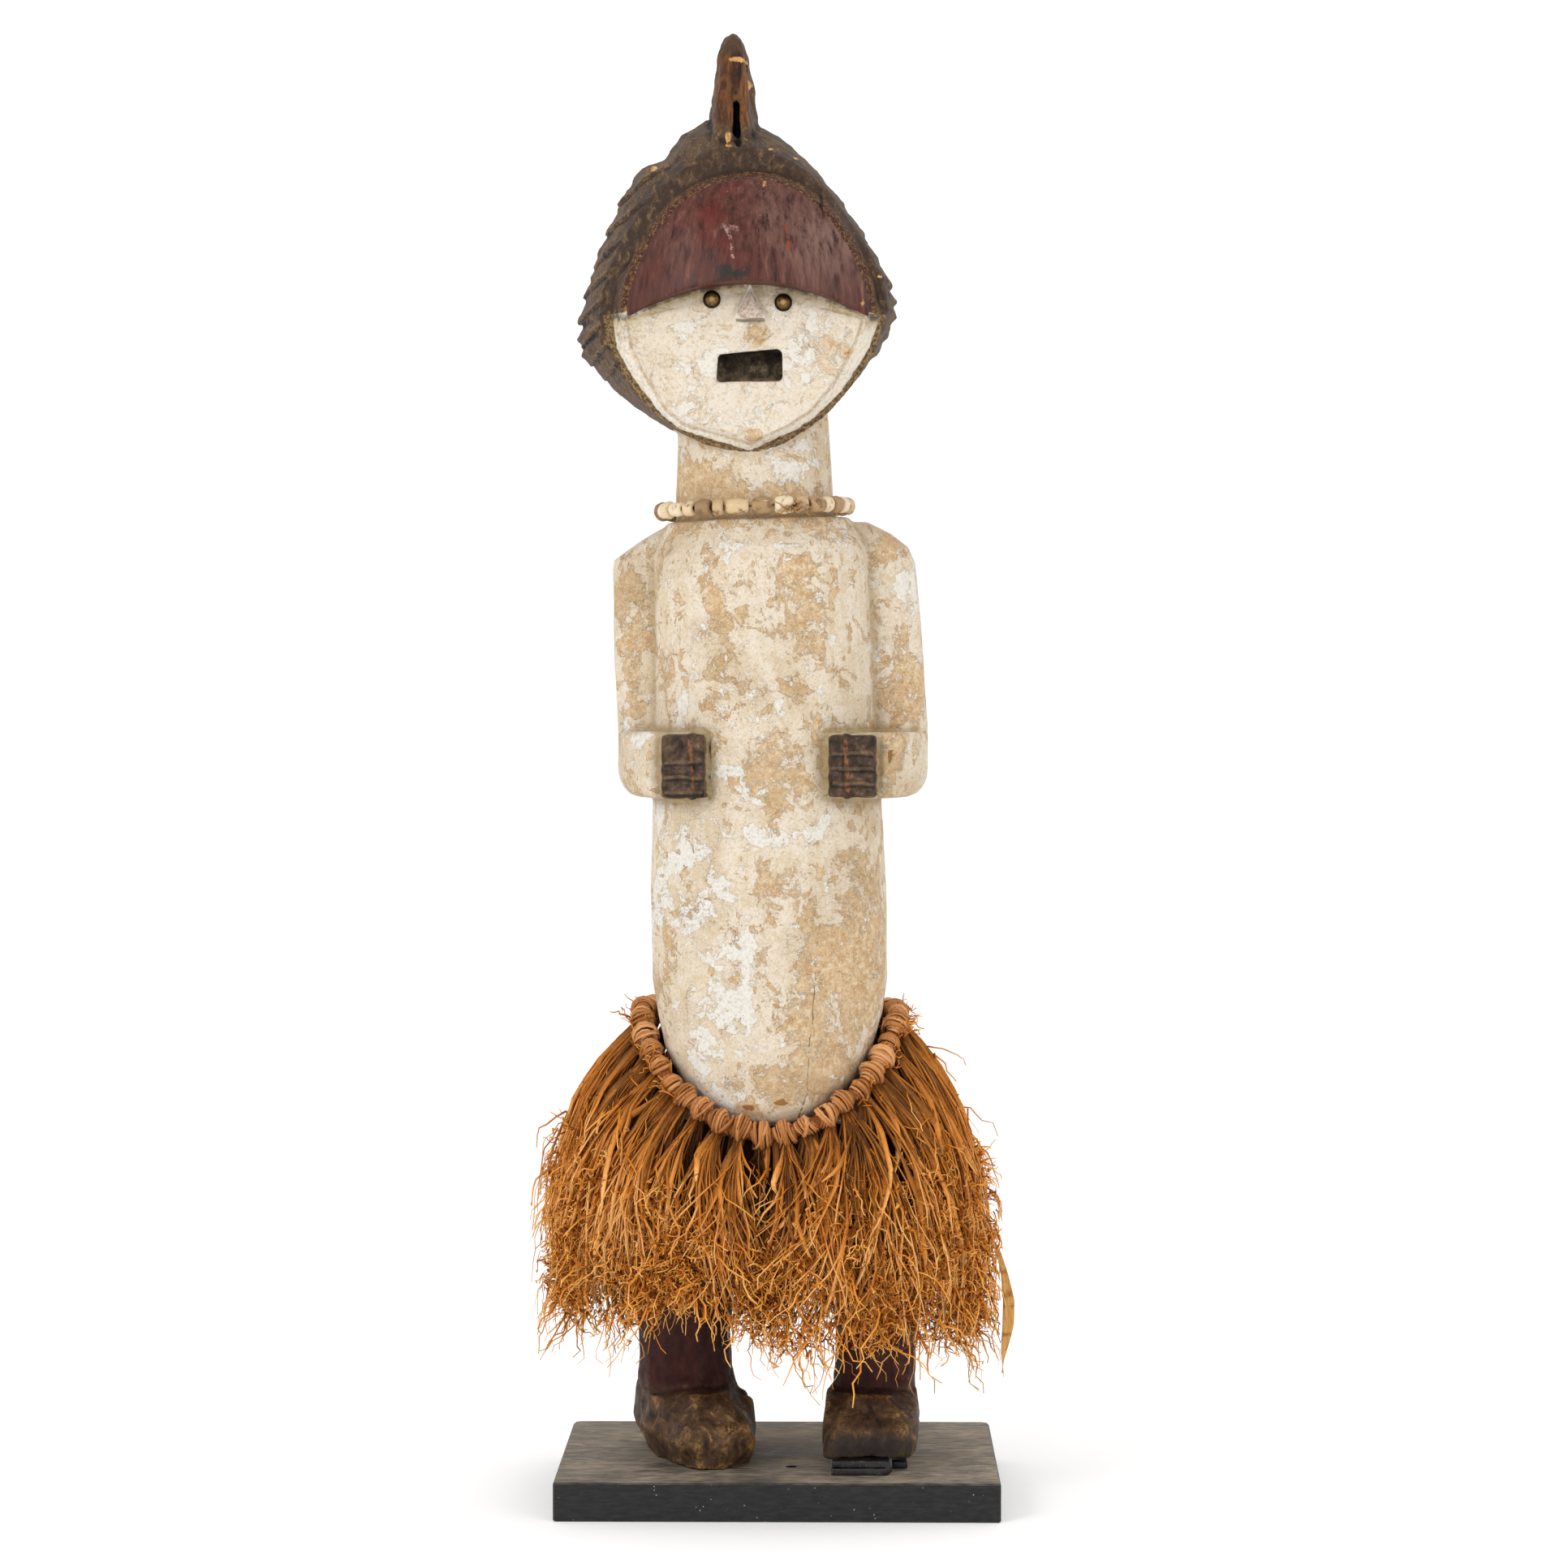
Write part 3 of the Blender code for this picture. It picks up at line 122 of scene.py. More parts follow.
class Finish:
    """A material being mixed. Each call adds one node and hands back what comes out of it."""

    def __init__(self, name, roughness=0.8, metallic=0.0, gloss=0.5):
        self.material = bpy.data.materials.new(name)
        self.material.use_nodes = True
        self.tree = self.material.node_tree
        self.shader = self.tree.nodes["Principled BSDF"]
        self.shader.inputs["Roughness"].default_value = roughness
        self.shader.inputs["Metallic"].default_value = metallic
        self.shader.inputs["Specular IOR Level"].default_value = gloss
        self.place = self.add("TexCoord", "Object")

    def feed(self, socket, value):
        if isinstance(value, Wire):
            self.tree.links.new(value.socket, socket)
        elif isinstance(value, str):
            socket.default_value = (*tint(value), 1.0)
        else:
            socket.default_value = value

    def add(self, kind, out, values=(), named=None, **settings):
        """A new node, fed with values in the order of its inputs or by their names."""
        node = self.tree.nodes.new("ShaderNode" + kind)
        for name, value in settings.items():
            setattr(node, name, value)
        for socket, value in zip(node.inputs, values):
            if value is not None:
                self.feed(socket, value)
        for name, value in (named or {}).items():
            self.feed(node.inputs[name], value)
        return Wire(self, node.outputs[out])

    def stretched(self, x, y, z):
        return self.add("Mapping", "Vector", named={"Vector": self.place, "Scale": (x, y, z)})

    def noise(self, scale, detail=4.0, roughness=0.55, distortion=0.0, place=None, out="Fac"):
        return self.add("TexNoise", out, named={
            "Vector": place or self.place, "Scale": scale, "Detail": detail,
            "Roughness": roughness, "Distortion": distortion,
        })

    def cells(self, scale, feature="DISTANCE_TO_EDGE"):
        named = {"Vector": self.place, "Scale": scale}
        return self.add("TexVoronoi", "Distance", named=named, feature=feature)

    def attribute(self, name):
        return self.add("Attribute", "Fac", attribute_name=name)

    def calc(self, operation, a, b):
        return self.add("Math", 0, (a, b), operation=operation)

    def vector(self, operation, a, b=None, c=None, scale=None):
        """One step of vector arithmetic. A distance or a dot product comes out as a number."""
        out = "Value" if operation in ("DISTANCE", "DOT_PRODUCT") else "Vector"
        return self.add("VectorMath", out, (a, b, c, scale), operation=operation)

    def axes(self, vector):
        """A vector's three parts, each as a number."""
        return [self.add("SeparateXYZ", out, (vector,)) for out in "XYZ"]

    def mix(self, share, a, b):
        node = self.tree.nodes.new("ShaderNodeMix")
        node.data_type = "RGBA"
        for socket, value in ((node.inputs["Factor"], share), (node.inputs[6], a), (node.inputs[7], b)):
            self.feed(socket, value)
        return Wire(self, node.outputs[2])

    def ramp(self, value, stops):
        node = self.tree.nodes.new("ShaderNodeValToRGB")
        self.feed(node.inputs["Fac"], value)
        while len(node.color_ramp.elements) < len(stops):
            node.color_ramp.elements.new(0.5)
        for element, (place, code) in zip(node.color_ramp.elements, stops):
            element.position = place
            element.color = (*tint(code), 1.0)
        return Wire(self, node.outputs["Color"])

    def scratch(self, start, end, half, place):
        """One along a line seen from the front, fading out half a width away, in metres across and up."""
        (ax, az), (bx, bz) = start, end
        size = (bx - ax) ** 2 + (bz - az) ** 2
        away = self.vector("SUBTRACT", place, (ax, 0.0, az))
        share = self.vector("DOT_PRODUCT", away, ((bx - ax) / size, 0.0, (bz - az) / size))
        held = self.add("Clamp", 0, (share,))
        foot = self.vector("SCALE", (bx - ax, 0.0, bz - az), scale=held)
        return self.vector("DISTANCE", away, foot).step(half, half * 0.35)

    def bump(self, height, distance, strength=1.0, over=None):
        named = {"Height": height, "Distance": distance, "Strength": strength}
        if over:
            named["Normal"] = over
        return self.add("Bump", "Normal", named=named)

    def apply(self, colour, roughness=None, normal=None):
        self.feed(self.shader.inputs["Base Color"], colour)
        if roughness:
            self.feed(self.shader.inputs["Roughness"], roughness)
        if normal:
            self.feed(self.shader.inputs["Normal"], normal)
        return self.material


def dress(piece, material):
    """Gives a piece its one material."""
    piece.data.materials.clear()
    piece.data.materials.append(material)


def board_finish():
    mix = Finish("dusty_black_board", gloss=0.25)
    grain = mix.noise(60, 8, 0.68, 0.6, mix.stretched(0.45, 1, 1))
    fine = mix.noise(420, 5, 0.65, 0, mix.stretched(0.22, 1, 1))
    blotch = mix.noise(18, 5, 0.6)
    specks = mix.cells(300, "F1")
    facing = mix.add("NewGeometry", "Normal")
    up = mix.axes(facing)[2].step(0.6, 0.95)
    colour = mix.mix(fine.step(0.35, 0.7), BOARD_PAINT, "#2b2a29")
    dusty = up * (grain + fine).step(0.62, 1.30)
    dusty = dusty * blotch.step(0.25, 0.75, 0.45, 1)
    colour = mix.mix(dusty * 0.9, colour, BOARD_DUST)
    chips = specks.step(0.12, 0.07) * mix.noise(60, 2).step(0.54, 0.60)
    colour = mix.mix(chips, colour, "#b9b2a4")
    height = grain * 0.8 + fine * 0.5
    rough = (dusty + fine * 0.3).step(0, 0.9, 0.42, 0.85)
    return mix.apply(colour, rough, mix.bump(height, 0.0007, 0.55))


dress(nodes["plinth_board"], board_finish())


# Two scraps of black saddle leather wedge up the raised right foot: one folded double, its fold
# outwards, and one slip beside it. They are only pinched under the sole.
def merged_copy(node):
    """A CAD node's mesh with its loose triangles joined, as a bmesh to work on."""
    bm = bmesh.new()
    bm.from_mesh(nodes[node].data)
    bmesh.ops.remove_doubles(bm, verts=bm.verts, dist=1e-6)
    return bm


def add_piece(name, bm, material, slot, *stands_for, smooth=True):
    """A finished bmesh as a piece of the figure, riding on it and standing for CAD nodes."""
    mesh = bpy.data.meshes.new(name)
    bm.to_mesh(mesh)
    bm.free()
    if smooth:
        mesh.shade_smooth()
    piece = placed(name, mesh)
    mesh.materials.append(material)
    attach(piece, "root")
    if stands_for:
        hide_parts(*stands_for)
    return piece


def lattice_noise(points, scale, seed):
    """Smooth random values from -1 to 1 at each point, read between a seeded lattice of numbers."""
    table = np.random.default_rng(seed).uniform(-1.0, 1.0, (32, 32, 32))
    place = points * scale
    cell = np.floor(place).astype(int)
    share = place - cell
    share = share * share * (3.0 - 2.0 * share)
    total = np.zeros(len(points))
    for corner in range(8):
        step = np.array([corner & 1, corner >> 1 & 1, corner >> 2])
        weight = np.where(step, share, 1.0 - share).prod(axis=1)
        index = (cell + step) % 32
        total += weight * table[index[:, 0], index[:, 1], index[:, 2]]
    return total


def leather_finish():
    mix = Finish("black_scrap_leather")
    pores = mix.cells(900, "F1")
    creases = mix.noise(140, 6, 0.7, 0.8)
    colour = mix.mix(creases.step(0.4, 0.75), "#0f0f11", "#2b2a2b")
    colour = mix.mix(mix.noise(500, 3).step(0.62, 0.75), colour, "#5b5650")
    height = pores * 0.5 + creases
    return mix.apply(colour, creases.step(0.3, 0.7, 0.3, 0.55), mix.bump(height, 0.0004, 0.6))


leather = leather_finish()
for scrap in ("leather_shim", "leather_slip"):
    bm = merged_copy(scrap)
    sharp = [e for e in bm.edges if e.is_manifold and e.calc_face_angle() > math.radians(50)]
    bmesh.ops.bevel(bm, geom=sharp, offset=0.0006, segments=2, profile=0.5, affect="EDGES", material=-1)
    for _ in range(3):
        long_edges = [e for e in bm.edges if e.calc_length() > 0.0035]
        bmesh.ops.subdivide_edges(bm, edges=long_edges, cuts=1)
        bmesh.ops.triangulate(bm, faces=[f for f in bm.faces if len(f.verts) > 4])
    co = np.array([v.co for v in bm.verts])
    ripple = lattice_noise(co, 160.0, 3) * 0.00025 + lattice_noise(co, 420.0, 4) * 0.0001
    for vert, move in zip(bm.verts, ripple):
        vert.co += vert.normal * move
    add_piece(f"{scrap}_worn", bm, leather, "leather", scrap)


# The figure is carved from one block of light wood with an adze and a knife. Body and face carry
# layers of flaking white clay paint, the brow panel a red-brown one, and hair, hands and legs are
# darkened. It stands on the board and the shim.
UNIT = 0.0009085
BASE = 0.0248
FACE_Y, HAND_Y = -49.0, -69.5
FINGER_PITCH = 10.4
PAINT_WHITE = "#dfdbd2"
PAINT_CREAM = "#dacebc"
GROUND_TAN = "#d0b691"
BARE_WOOD = "#94693f"


def worked_out(piece):
    """The mesh that an object's modifiers or curves come to."""
    return bpy.data.meshes.new_from_object(piece.evaluated_get(bpy.context.evaluated_depsgraph_get()))


def remeshed(bm, size):
    """The shape covered again with even facets of one size."""
    mesh = bpy.data.meshes.new("remesh")
    bm.to_mesh(mesh)
    bm.free()
    block = placed("remesh", mesh)
    step = block.modifiers.new("even facets", "REMESH")
    step.mode = "VOXEL"
    step.voxel_size = size
    made = worked_out(block)
    bpy.data.objects.remove(block)
    bpy.data.meshes.remove(mesh)
    return made


def read_points(mesh, what="vertices", key="co"):
    out = np.zeros(len(getattr(mesh, what)) * 3, np.float32)
    getattr(mesh, what).foreach_get(key, out)
    return out.reshape(-1, 3).astype(float)


def neighbour_mean(values, edges):
    """Each point's mean over the points it shares an edge with."""
    count = np.bincount(edges.ravel(), minlength=len(values))
    total = np.zeros_like(values)
    for axis in range(values.shape[1]):
        column = values[:, axis]
        total[:, axis] = np.bincount(edges[:, 0], column[edges[:, 1]], len(values))
        total[:, axis] += np.bincount(edges[:, 1], column[edges[:, 0]], len(values))
    return total / np.maximum(count, 1)[:, None]


def paint_layer(mesh, name, values):
    layer = mesh.attributes.new(name, "FLOAT", "POINT")
    layer.data.foreach_set("value", np.asarray(values, np.float32))


def ease(value, low, high):
    share = np.clip((value - low) / (high - low), 0.0, 1.0)
    return share * share * (3.0 - 2.0 * share)


def hump(distance, half):
    """One at no distance, falling off smoothly over about a half width."""
    return np.exp(-((distance / half) ** 2))


def inside_outline(x, z, outline):
    """How far each point lies inside a closed outline seen from the front; negative outside."""
    best = np.full(len(x), 1e9)
    inside = np.zeros(len(x), bool)
    for (ax, az), (bx, bz) in zip(outline, outline[1:] + outline[:1]):
        dx, dz = bx - ax, bz - az
        share = np.clip(((x - ax) * dx + (z - az) * dz) / (dx * dx + dz * dz), 0.0, 1.0)
        best = np.minimum(best, np.hypot(x - ax - dx * share, z - az - dz * share))
        crosses = (az > z) != (bz > z)
        inside ^= crosses & (x < ax + dx * (z - az) / (dz if dz else 1e-9))
    return np.where(inside, best, -best)


def patches(spots):
    """Soft spots on the front: across, height, half width, half height and strength of each."""
    total = np.zeros(len(x))
    for across, up, half_x, half_z, strength in spots:
        total += strength * np.exp(-(((x - across) / half_x) ** 2) - ((z - up) / half_z) ** 2)
    return np.where(y < 6.0, total, 0.0)


# Distances on the figure are in thousandths of its height, from the middle of its feet
FIGURE_VOXEL, FIGURE_TRIANGLES = 0.0015, 190000.0
JAW_OUTLINE = [
    (-19.5, 706.5), (-51, 715.5), (-68, 721), (-80, 730.5), (-100, 756), (-111, 775),
    (-115.5, 802), (-104, 806), (-20, 826), (62, 806), (67.5, 817), (71, 800),
    (63, 776), (44.7, 748), (24.5, 728), (9, 719),
]
NOSE_OUTLINE = [(-19, 818), (-29, 796.5), (-8.5, 795.5)]
MIDDLE_X, BROW_HALF = -20.5, 84.0
HANDS = ((-82.0, -47.3, -58.6, 490.5), (32.5, 70.5, 47.5, 496.1))

figure_mesh = remeshed(merged_copy("carved_figure"), FIGURE_VOXEL)
points = read_points(figure_mesh)
normals = read_points(figure_mesh, "vertex_normals", "vector")
links = np.zeros(len(figure_mesh.edges) * 2, np.int32)
figure_mesh.edges.foreach_get("vertices", links)
links = links.reshape(-1, 2)
x, y, z = points[:, 0] / UNIT, points[:, 1] / UNIT, (points[:, 2] - BASE) / UNIT

# Where each finish lies, as a distance inside it
arch = np.linspace(-1.0, 1.0, 25)
brow_outline = list(zip(MIDDLE_X + BROW_HALF * arch, 806.5 + 92.0 * (1.0 - np.abs(arch) ** 2.2) ** 0.55))
brow_outline += list(zip(MIDDLE_X + BROW_HALF * arch[::-2], 796.0 + 22.5 * (1.0 - arch[::-2] ** 2)))
brow_low = 796.5 + 22.5 * (1.0 - np.clip((x - MIDDLE_X) / BROW_HALF, -1.0, 1.0) ** 2)
in_front = y < -30.0
brow = np.where(in_front & (z > 780.0), inside_outline(x, z, brow_outline), -30.0)
jaw = np.where((y < FACE_Y) & (z < brow_low + 3.0), inside_outline(x, z, JAW_OUTLINE), -10.0)
neck_gap = (np.abs((x + 17.4) / 57.0) ** 2.5 + np.abs(y / 51.5) ** 2.5) ** 0.4 * 57.0 - 57.0
hair = np.where(z > 700.0, np.minimum(-jaw, np.maximum(neck_gap, z - 752.0)), -10.0)
under_brow_edge = (y > -51.5) & in_front & (jaw > 0.0)
brow = np.where(under_brow_edge, np.minimum(brow, -1.0), brow)
nose = np.where(y < FACE_Y, inside_outline(x, z, NOSE_OUTLINE), -10.0)
hand = np.full(len(x), -10.0)
knuckles = np.zeros(len(x))
for low, high, ridge, first in HANDS:
    beside = np.abs(x - (low + high) / 2.0) - (high - low) / 2.0 + 7.0
    above = np.abs(z - 487.0) - 18.5
    reach = 7.0 - np.hypot(np.maximum(beside, 0.0), np.maximum(above, 0.0))
    reach = reach - np.minimum(np.maximum(beside, above), 0.0)
    hand = np.maximum(hand, np.where(y < HAND_Y, reach, -10.0))
    fingers = -0.5 * np.cos((z - first) / FINGER_PITCH * 2.0 * np.pi) * ease(first + 3.0 - z, 0.0, 4.0)
    fingers += 1.3 * hump(x - ridge, 2.4) - 2.2 * hump(np.maximum(reach, 0.0), 2.2)
    knuckles += np.where((y < HAND_Y) & (reach > -1.5), fingers, 0.0)
leg = 237.0 - z
mouth = np.minimum(np.minimum(x + 43.5, 4.5 - x), np.minimum(z - 750.5, 776.0 - z))
mouth = np.where((y > -66.5) & (y < -50.0), mouth, -10.0)

# Carving marks: broad unevenness everywhere, lapped locks on the hair, splinters on the crest
move = lattice_noise(points, 24.0, 11) * 0.5 + lattice_noise(points, 75.0, 12) * 0.24
move += lattice_noise(points * (1.0, 1.0, 0.35), 160.0, 13) * 0.14
on_hair = ease(hair, 0.0, 3.0) * ease(-brow, 8.0, 20.0)
lap = np.where(x < MIDDLE_X, (z + 0.62 * (np.abs(x - MIDDLE_X) - 95.0)) / 17.0, (z + 0.4 * (x - 64.0)) / 23.0)
lap += lattice_noise(points, 11.0, 15) * 0.28
lap_share = lap - np.floor(lap)
side_reach = ease(np.abs(x - MIDDLE_X), 40.0, 75.0) * ease(z, 742.0, 770.0) * ease(932.0 - z, 0.0, 20.0)
at_side = on_hair * side_reach * np.where(x < MIDDLE_X, 1.0, 0.25)
move += at_side * (0.45 - lap_share) * 2.0
rough_hair = lattice_noise(points * (1.0, 0.16, 1.0), 420.0, 16) * 0.35
rough_hair += lattice_noise(points, 130.0, 17) * 0.55
move += ease(hair, 0.0, 3.0) * ease(-brow, 1.0, 5.0) * rough_hair
on_crest = ease(z, 934.0, 944.0) * ease(22.0 - np.abs(x + 32.0), 0.0, 2.0)
splinter = lattice_noise(points * (1.0, 1.0, 0.12), 300.0, 18)
move += on_crest * (splinter * 1.2 + lattice_noise(points, 110.0, 19) * 0.8)
slot = hump(x + 28.8 + 0.06 * (z - 934.0), 1.4) * ease(z, 914.0, 920.0) * ease(950.0 - z, 0.0, 4.0)
move -= np.where(y < -14.0, slot * 3.4, 0.0)
on_leg = ease(leg, 0.0, 6.0)
adzed = lattice_noise(points * (1.0, 1.0, 0.25), 120.0, 20) + lattice_noise(points, 90.0, 21)
move += on_leg * adzed * 0.5
hewn = lattice_noise(points * (1.0, 1.0, 0.8), 62.0, 24)
move += on_leg * ease(62.0 - z, 0.0, 8.0) * (np.abs(hewn) * 3.2 - 1.0)
move += knuckles
move -= ease(mouth, 0.0, 1.5) * np.abs(lattice_noise(points, 260.0, 22)) * 0.6
move += ease(nose, -0.3, 0.7) * (0.6 + 3.0 * ease(820.0 - z, 0.0, 26.0))
band_width = 3.0 + 7.5 * ease(z, 714.0, 796.0)
groove = hump(jaw - band_width, 1.5) * ease(brow_low - z, 2.0, 8.0)
move -= np.where(jaw > 0.0, groove, 0.0) * 0.7
points += normals * (move * UNIT)[:, None]
figure_mesh.vertices.foreach_set("co", points.astype(np.float32).ravel())
figure_mesh.update()
normals = read_points(figure_mesh, "vertex_normals", "vector")

# Hollows darken with grime and painted shade, edges lose their paint, and grime with painted shade lies under
# the brow and round the hands
smoothed = points
for _ in range(14):
    smoothed = neighbour_mean(smoothed, links)
hollow = ((smoothed - points) * normals).sum(axis=1) / UNIT
hollow = neighbour_mean(neighbour_mean(hollow[:, None], links), links)[:, 0]
# grime with painted shade: darkest just below the brow's lower edge, with a soft painted shadow round each
# hand
grime_and_shade = np.exp(-np.maximum(brow_low - z, 0.0) / 5.0) * 1.5
grime_and_shade = grime_and_shade * (y < FACE_Y) * (z > 775.0) * (z < brow_low + 3.0)
for low, high, *_ in HANDS:
    middle, half = (low + high) / 2.0, (high - low) / 2.0
    away = np.hypot(np.maximum(np.abs(x - middle) - half, 0.0), np.maximum(np.abs(z - 489.0) - 23.0, 0.0))
    grime_and_shade = np.maximum(grime_and_shade, np.where(y < -20.0, 0.65 * hump(away, 3.6), 0.0))

LOST_PAINT = (
    (-13, 787, 9, 5.5, 0.34), (35, 778, 9, 4, 0.26), (-17, 716, 6, 4, 0.42),
    (48, 771, 5, 5, 0.24),
    (-20, 780, 26, 3, 0.16), (-20, 747, 26, 3, 0.12),
    (-55, 676, 30, 22, 0.26), (8, 670, 34, 16, 0.25), (-40, 585, 12, 22, 0.12),
    (-44, 600, 8, 26, 0.10), (6, 540, 20, 20, 0.12), (12, 625, 22, 9, 0.14),
    (84, 560, 16, 45, 0.07), (78, 494, 7, 9, 0.42), (-2, 462, 8, 24, 0.16),
    (18, 480, 12, 20, 0.12), (-34, 460, 6, 6, 0.20), (24, 330, 24, 60, 0.15),
    (58, 340, 20, 90, 0.12), (-6, 402, 14, 12, 0.16), (4, 268, 22, 12, 0.22),
    (-74, 360, 5, 14, 0.22), (-88, 330, 6, 30, 0.10), (-21, 252.5, 5.5, 2.6, 0.62),
    (2.5, 255.5, 5.5, 2.4, 0.64),
    (-104, 600, 20, 60, 0.13), (-104, 480, 16, 14, 0.10), (92, 640, 20, 14, 0.12),
    (92, 540, 22, 40, 0.10), (24, 590, 16, 44, 0.10), (60, 380, 14, 60, 0.08),
)
KEPT_WHITE = (
    (-20, 745, 60, 34, 0.10), (-20, 786, 70, 14, 0.05), (-70, 420, 30, 90, 0.09),
    (-40, 300, 30, 60, 0.09), (-10, 440, 40, 12, 0.16), (88, 610, 14, 22, 0.16),
    (-98, 505, 12, 10, 0.16), (-2, 640, 34, 4, 0.16), (14, 690, 16, 16, 0.12),
    (-118, 622, 7, 9, 0.22), (2, 528, 5, 12, 0.20), (20, 545, 4, 20, 0.16),
    (-44, 255, 14, 8, 0.12), (-21, 345, 4, 60, 0.16), (70, 400, 18, 40, 0.05),
)
PALE_CHIPS = (
    (-35, 924, 2.2, 4.5, 1), (-34, 917, 4, 1.6, 0.7), (-5, 914.5, 2.6, 1.6, 0.8),
    (12, 909.5, 2.4, 2, 0.8), (-9.7, 886.5, 2.2, 4, 1), (-33, 887.5, 4, 0.9, 0.8),
    (-87.5, 905, 2.6, 3.4, 1), (58, 805, 1.8, 2.6, 0.9), (70, 826, 3, 1.5, 0.7),
    (-27.5, 977.5, 9, 2.2, 0.9), (-20.5, 962, 1.6, 6, 0.7),
)
# spots of painted sheen on the brow panel
BROW_SHEEN = (
    (32, 848, 30, 30, 1), (-6, 868, 10, 20, 0.4), (-64, 838, 14, 24, 0.3),
)
RED_BROW = (
    (-42, 866, 20, 30, 1), (-78, 826, 20, 14, 0.5), (-30, 830, 24, 10, 0.4),
)

arch_line = brow_outline[:25] + [(MIDDLE_X + BROW_HALF, 700.0), (MIDDLE_X - BROW_HALF, 700.0)]
rim_width = 1.0 + 6.5 * ease(z, 808.0, 862.0)
beside_brow = inside_outline(x, z, arch_line) - rim_width
for layer, values in {
    "hair": np.clip(hair, -10.0, 10.0),
    "brow": brow,
    "jaw": np.where((z < 803.0) & (jaw > -5.0), jaw - band_width, 6.0),
    "jaw_edge": jaw,
    "brow_rim": np.where(brow > -30.0, beside_brow, -30.0),
    "nose": np.clip(nose, -10.0, 10.0),
    "hand": np.clip(hand, -10.0, 10.0),
    "leg": np.clip(leg, -10.0, 10.0),
    "mouth": np.clip(mouth, -10.0, 10.0),
    "hollow": np.clip(hollow * 0.5, 0.0, 1.0),
    "edge": np.clip(-hollow * 0.5, 0.0, 1.0),
    "grime_and_shade": np.clip(grime_and_shade, 0.0, 1.0),
    "lost": patches(LOST_PAINT),
    "kept": patches(KEPT_WHITE),
    "chip": patches(PALE_CHIPS),
    "redder": patches(RED_BROW),
    "brow_sheen": patches(BROW_SHEEN),
    "lap": np.where(at_side > 0.1, lap_share, 0.5),
    "lapped": at_side,
}.items():
    paint_layer(figure_mesh, layer, values)


def front(across, up):
    """A spot on the front of the figure, in metres."""
    return (across * UNIT, up * UNIT + BASE)


def clay_paint(mix, pitted, streaks):
    """Bare wood, tan ground, cream coat and a last white coat, each torn at its own edge."""
    lost, kept = mix.attribute("lost"), mix.attribute("kept")
    torn = mix.noise(34, 10, 0.64, 0.4)
    torn_low = mix.noise(36, 12, 0.70, 0.6, mix.stretched(1.1, 1.1, 0.8))
    flakes = mix.noise(150, 6, 0.6, 0.3)
    dirt = mix.noise(13, 5, 0.6, 0.4)
    grit = mix.noise(1150, 2, 0.6)
    ragged = (flakes - 0.5) * 0.30
    cream_at = torn_low - lost + kept * 0.6 + ragged + (pitted - 0.5) * 0.24
    cream = cream_at.step(0.392, 0.402)
    shed = mix.noise(78, 9, 0.60, 0.5) + (lost - kept) * 0.25
    cream = cream * shed.step(0.606, 0.598)
    white_at = torn + kept - lost * 0.9 + ragged
    white = white_at.step(0.592, 0.602) * cream
    chips = (mix.noise(105, 9, 0.62, 0.4) + kept * 0.2).step(0.632, 0.640)
    white = mix.calc("MAXIMUM", white, chips)
    bare_at = lost * 1.1 - (torn + ragged)
    bare = bare_at.step(-0.14, -0.11)
    mottled = mix.noise(210, 7, 0.72, 0.4)
    tan = mix.mix(mottled.step(0.40, 0.62), GROUND_TAN, "#b8946a")
    tan = mix.mix(mottled.step(0.46, 0.38) * 0.75, tan, "#dccbb0")
    tan = mix.mix(grit.step(0.54, 0.64) * 0.7, tan, "#dfcdb0")
    tan = mix.mix(dirt.step(0.42, 0.68) * 0.7, tan, "#bda27d")
    tan = mix.mix(bare, tan, BARE_WOOD)
    coat = mix.mix(streaks.step(0.40, 0.70) * 0.8, PAINT_CREAM, "#d3c0a2")
    coat = mix.mix(pitted.step(0.48, 0.64) * 0.75, coat, "#c7ae8b")
    coat = mix.mix(grit.step(0.52, 0.64) * 0.6, coat, "#e8e0d2")
    coat = mix.mix(dirt.step(0.48, 0.68) * 0.6, coat, "#c2ab89")
    veil = mix.noise(58, 8, 0.72, 0.6).step(0.50, 0.60)
    coat = mix.mix(veil * pitted.step(0.30, 0.60, 0.25, 0.75), coat, "#cab594")
    last = mix.mix(pitted.step(0.44, 0.64), PAINT_WHITE, "#cfc6b6")
    paint = mix.mix(white, mix.mix(cream, tan, coat), last)
    # thin darker lines round the edges of the flakes: grime with painted shade
    rim = white_at.step(0.572, 0.590) * white_at.step(0.612, 0.596)
    paint = mix.mix(rim * 0.35, paint, "#b89c75")
    edge = cream_at.step(0.398, 0.408) * cream_at.step(0.428, 0.416)
    paint = mix.mix(edge * 0.55, paint, "#94744c")
    shed_rim = shed.step(0.585, 0.596) * shed.step(0.616, 0.606)
    paint = mix.mix(shed_rim * 0.4, paint, "#94744c")
    cracks = mix.cells(230).step(0.020, 0.006) * dirt.step(0.52, 0.62)
    paint = mix.mix(cracks * 0.4, paint, "#8c7658")
    specks = mix.noise(640, 2, 0.5).step(0.67, 0.73)
    paint = mix.mix(specks * 0.6, paint, "#8f744f")
    return paint, cream * 0.45 + white * 0.40 + pitted * 0.55 - cracks * 0.4


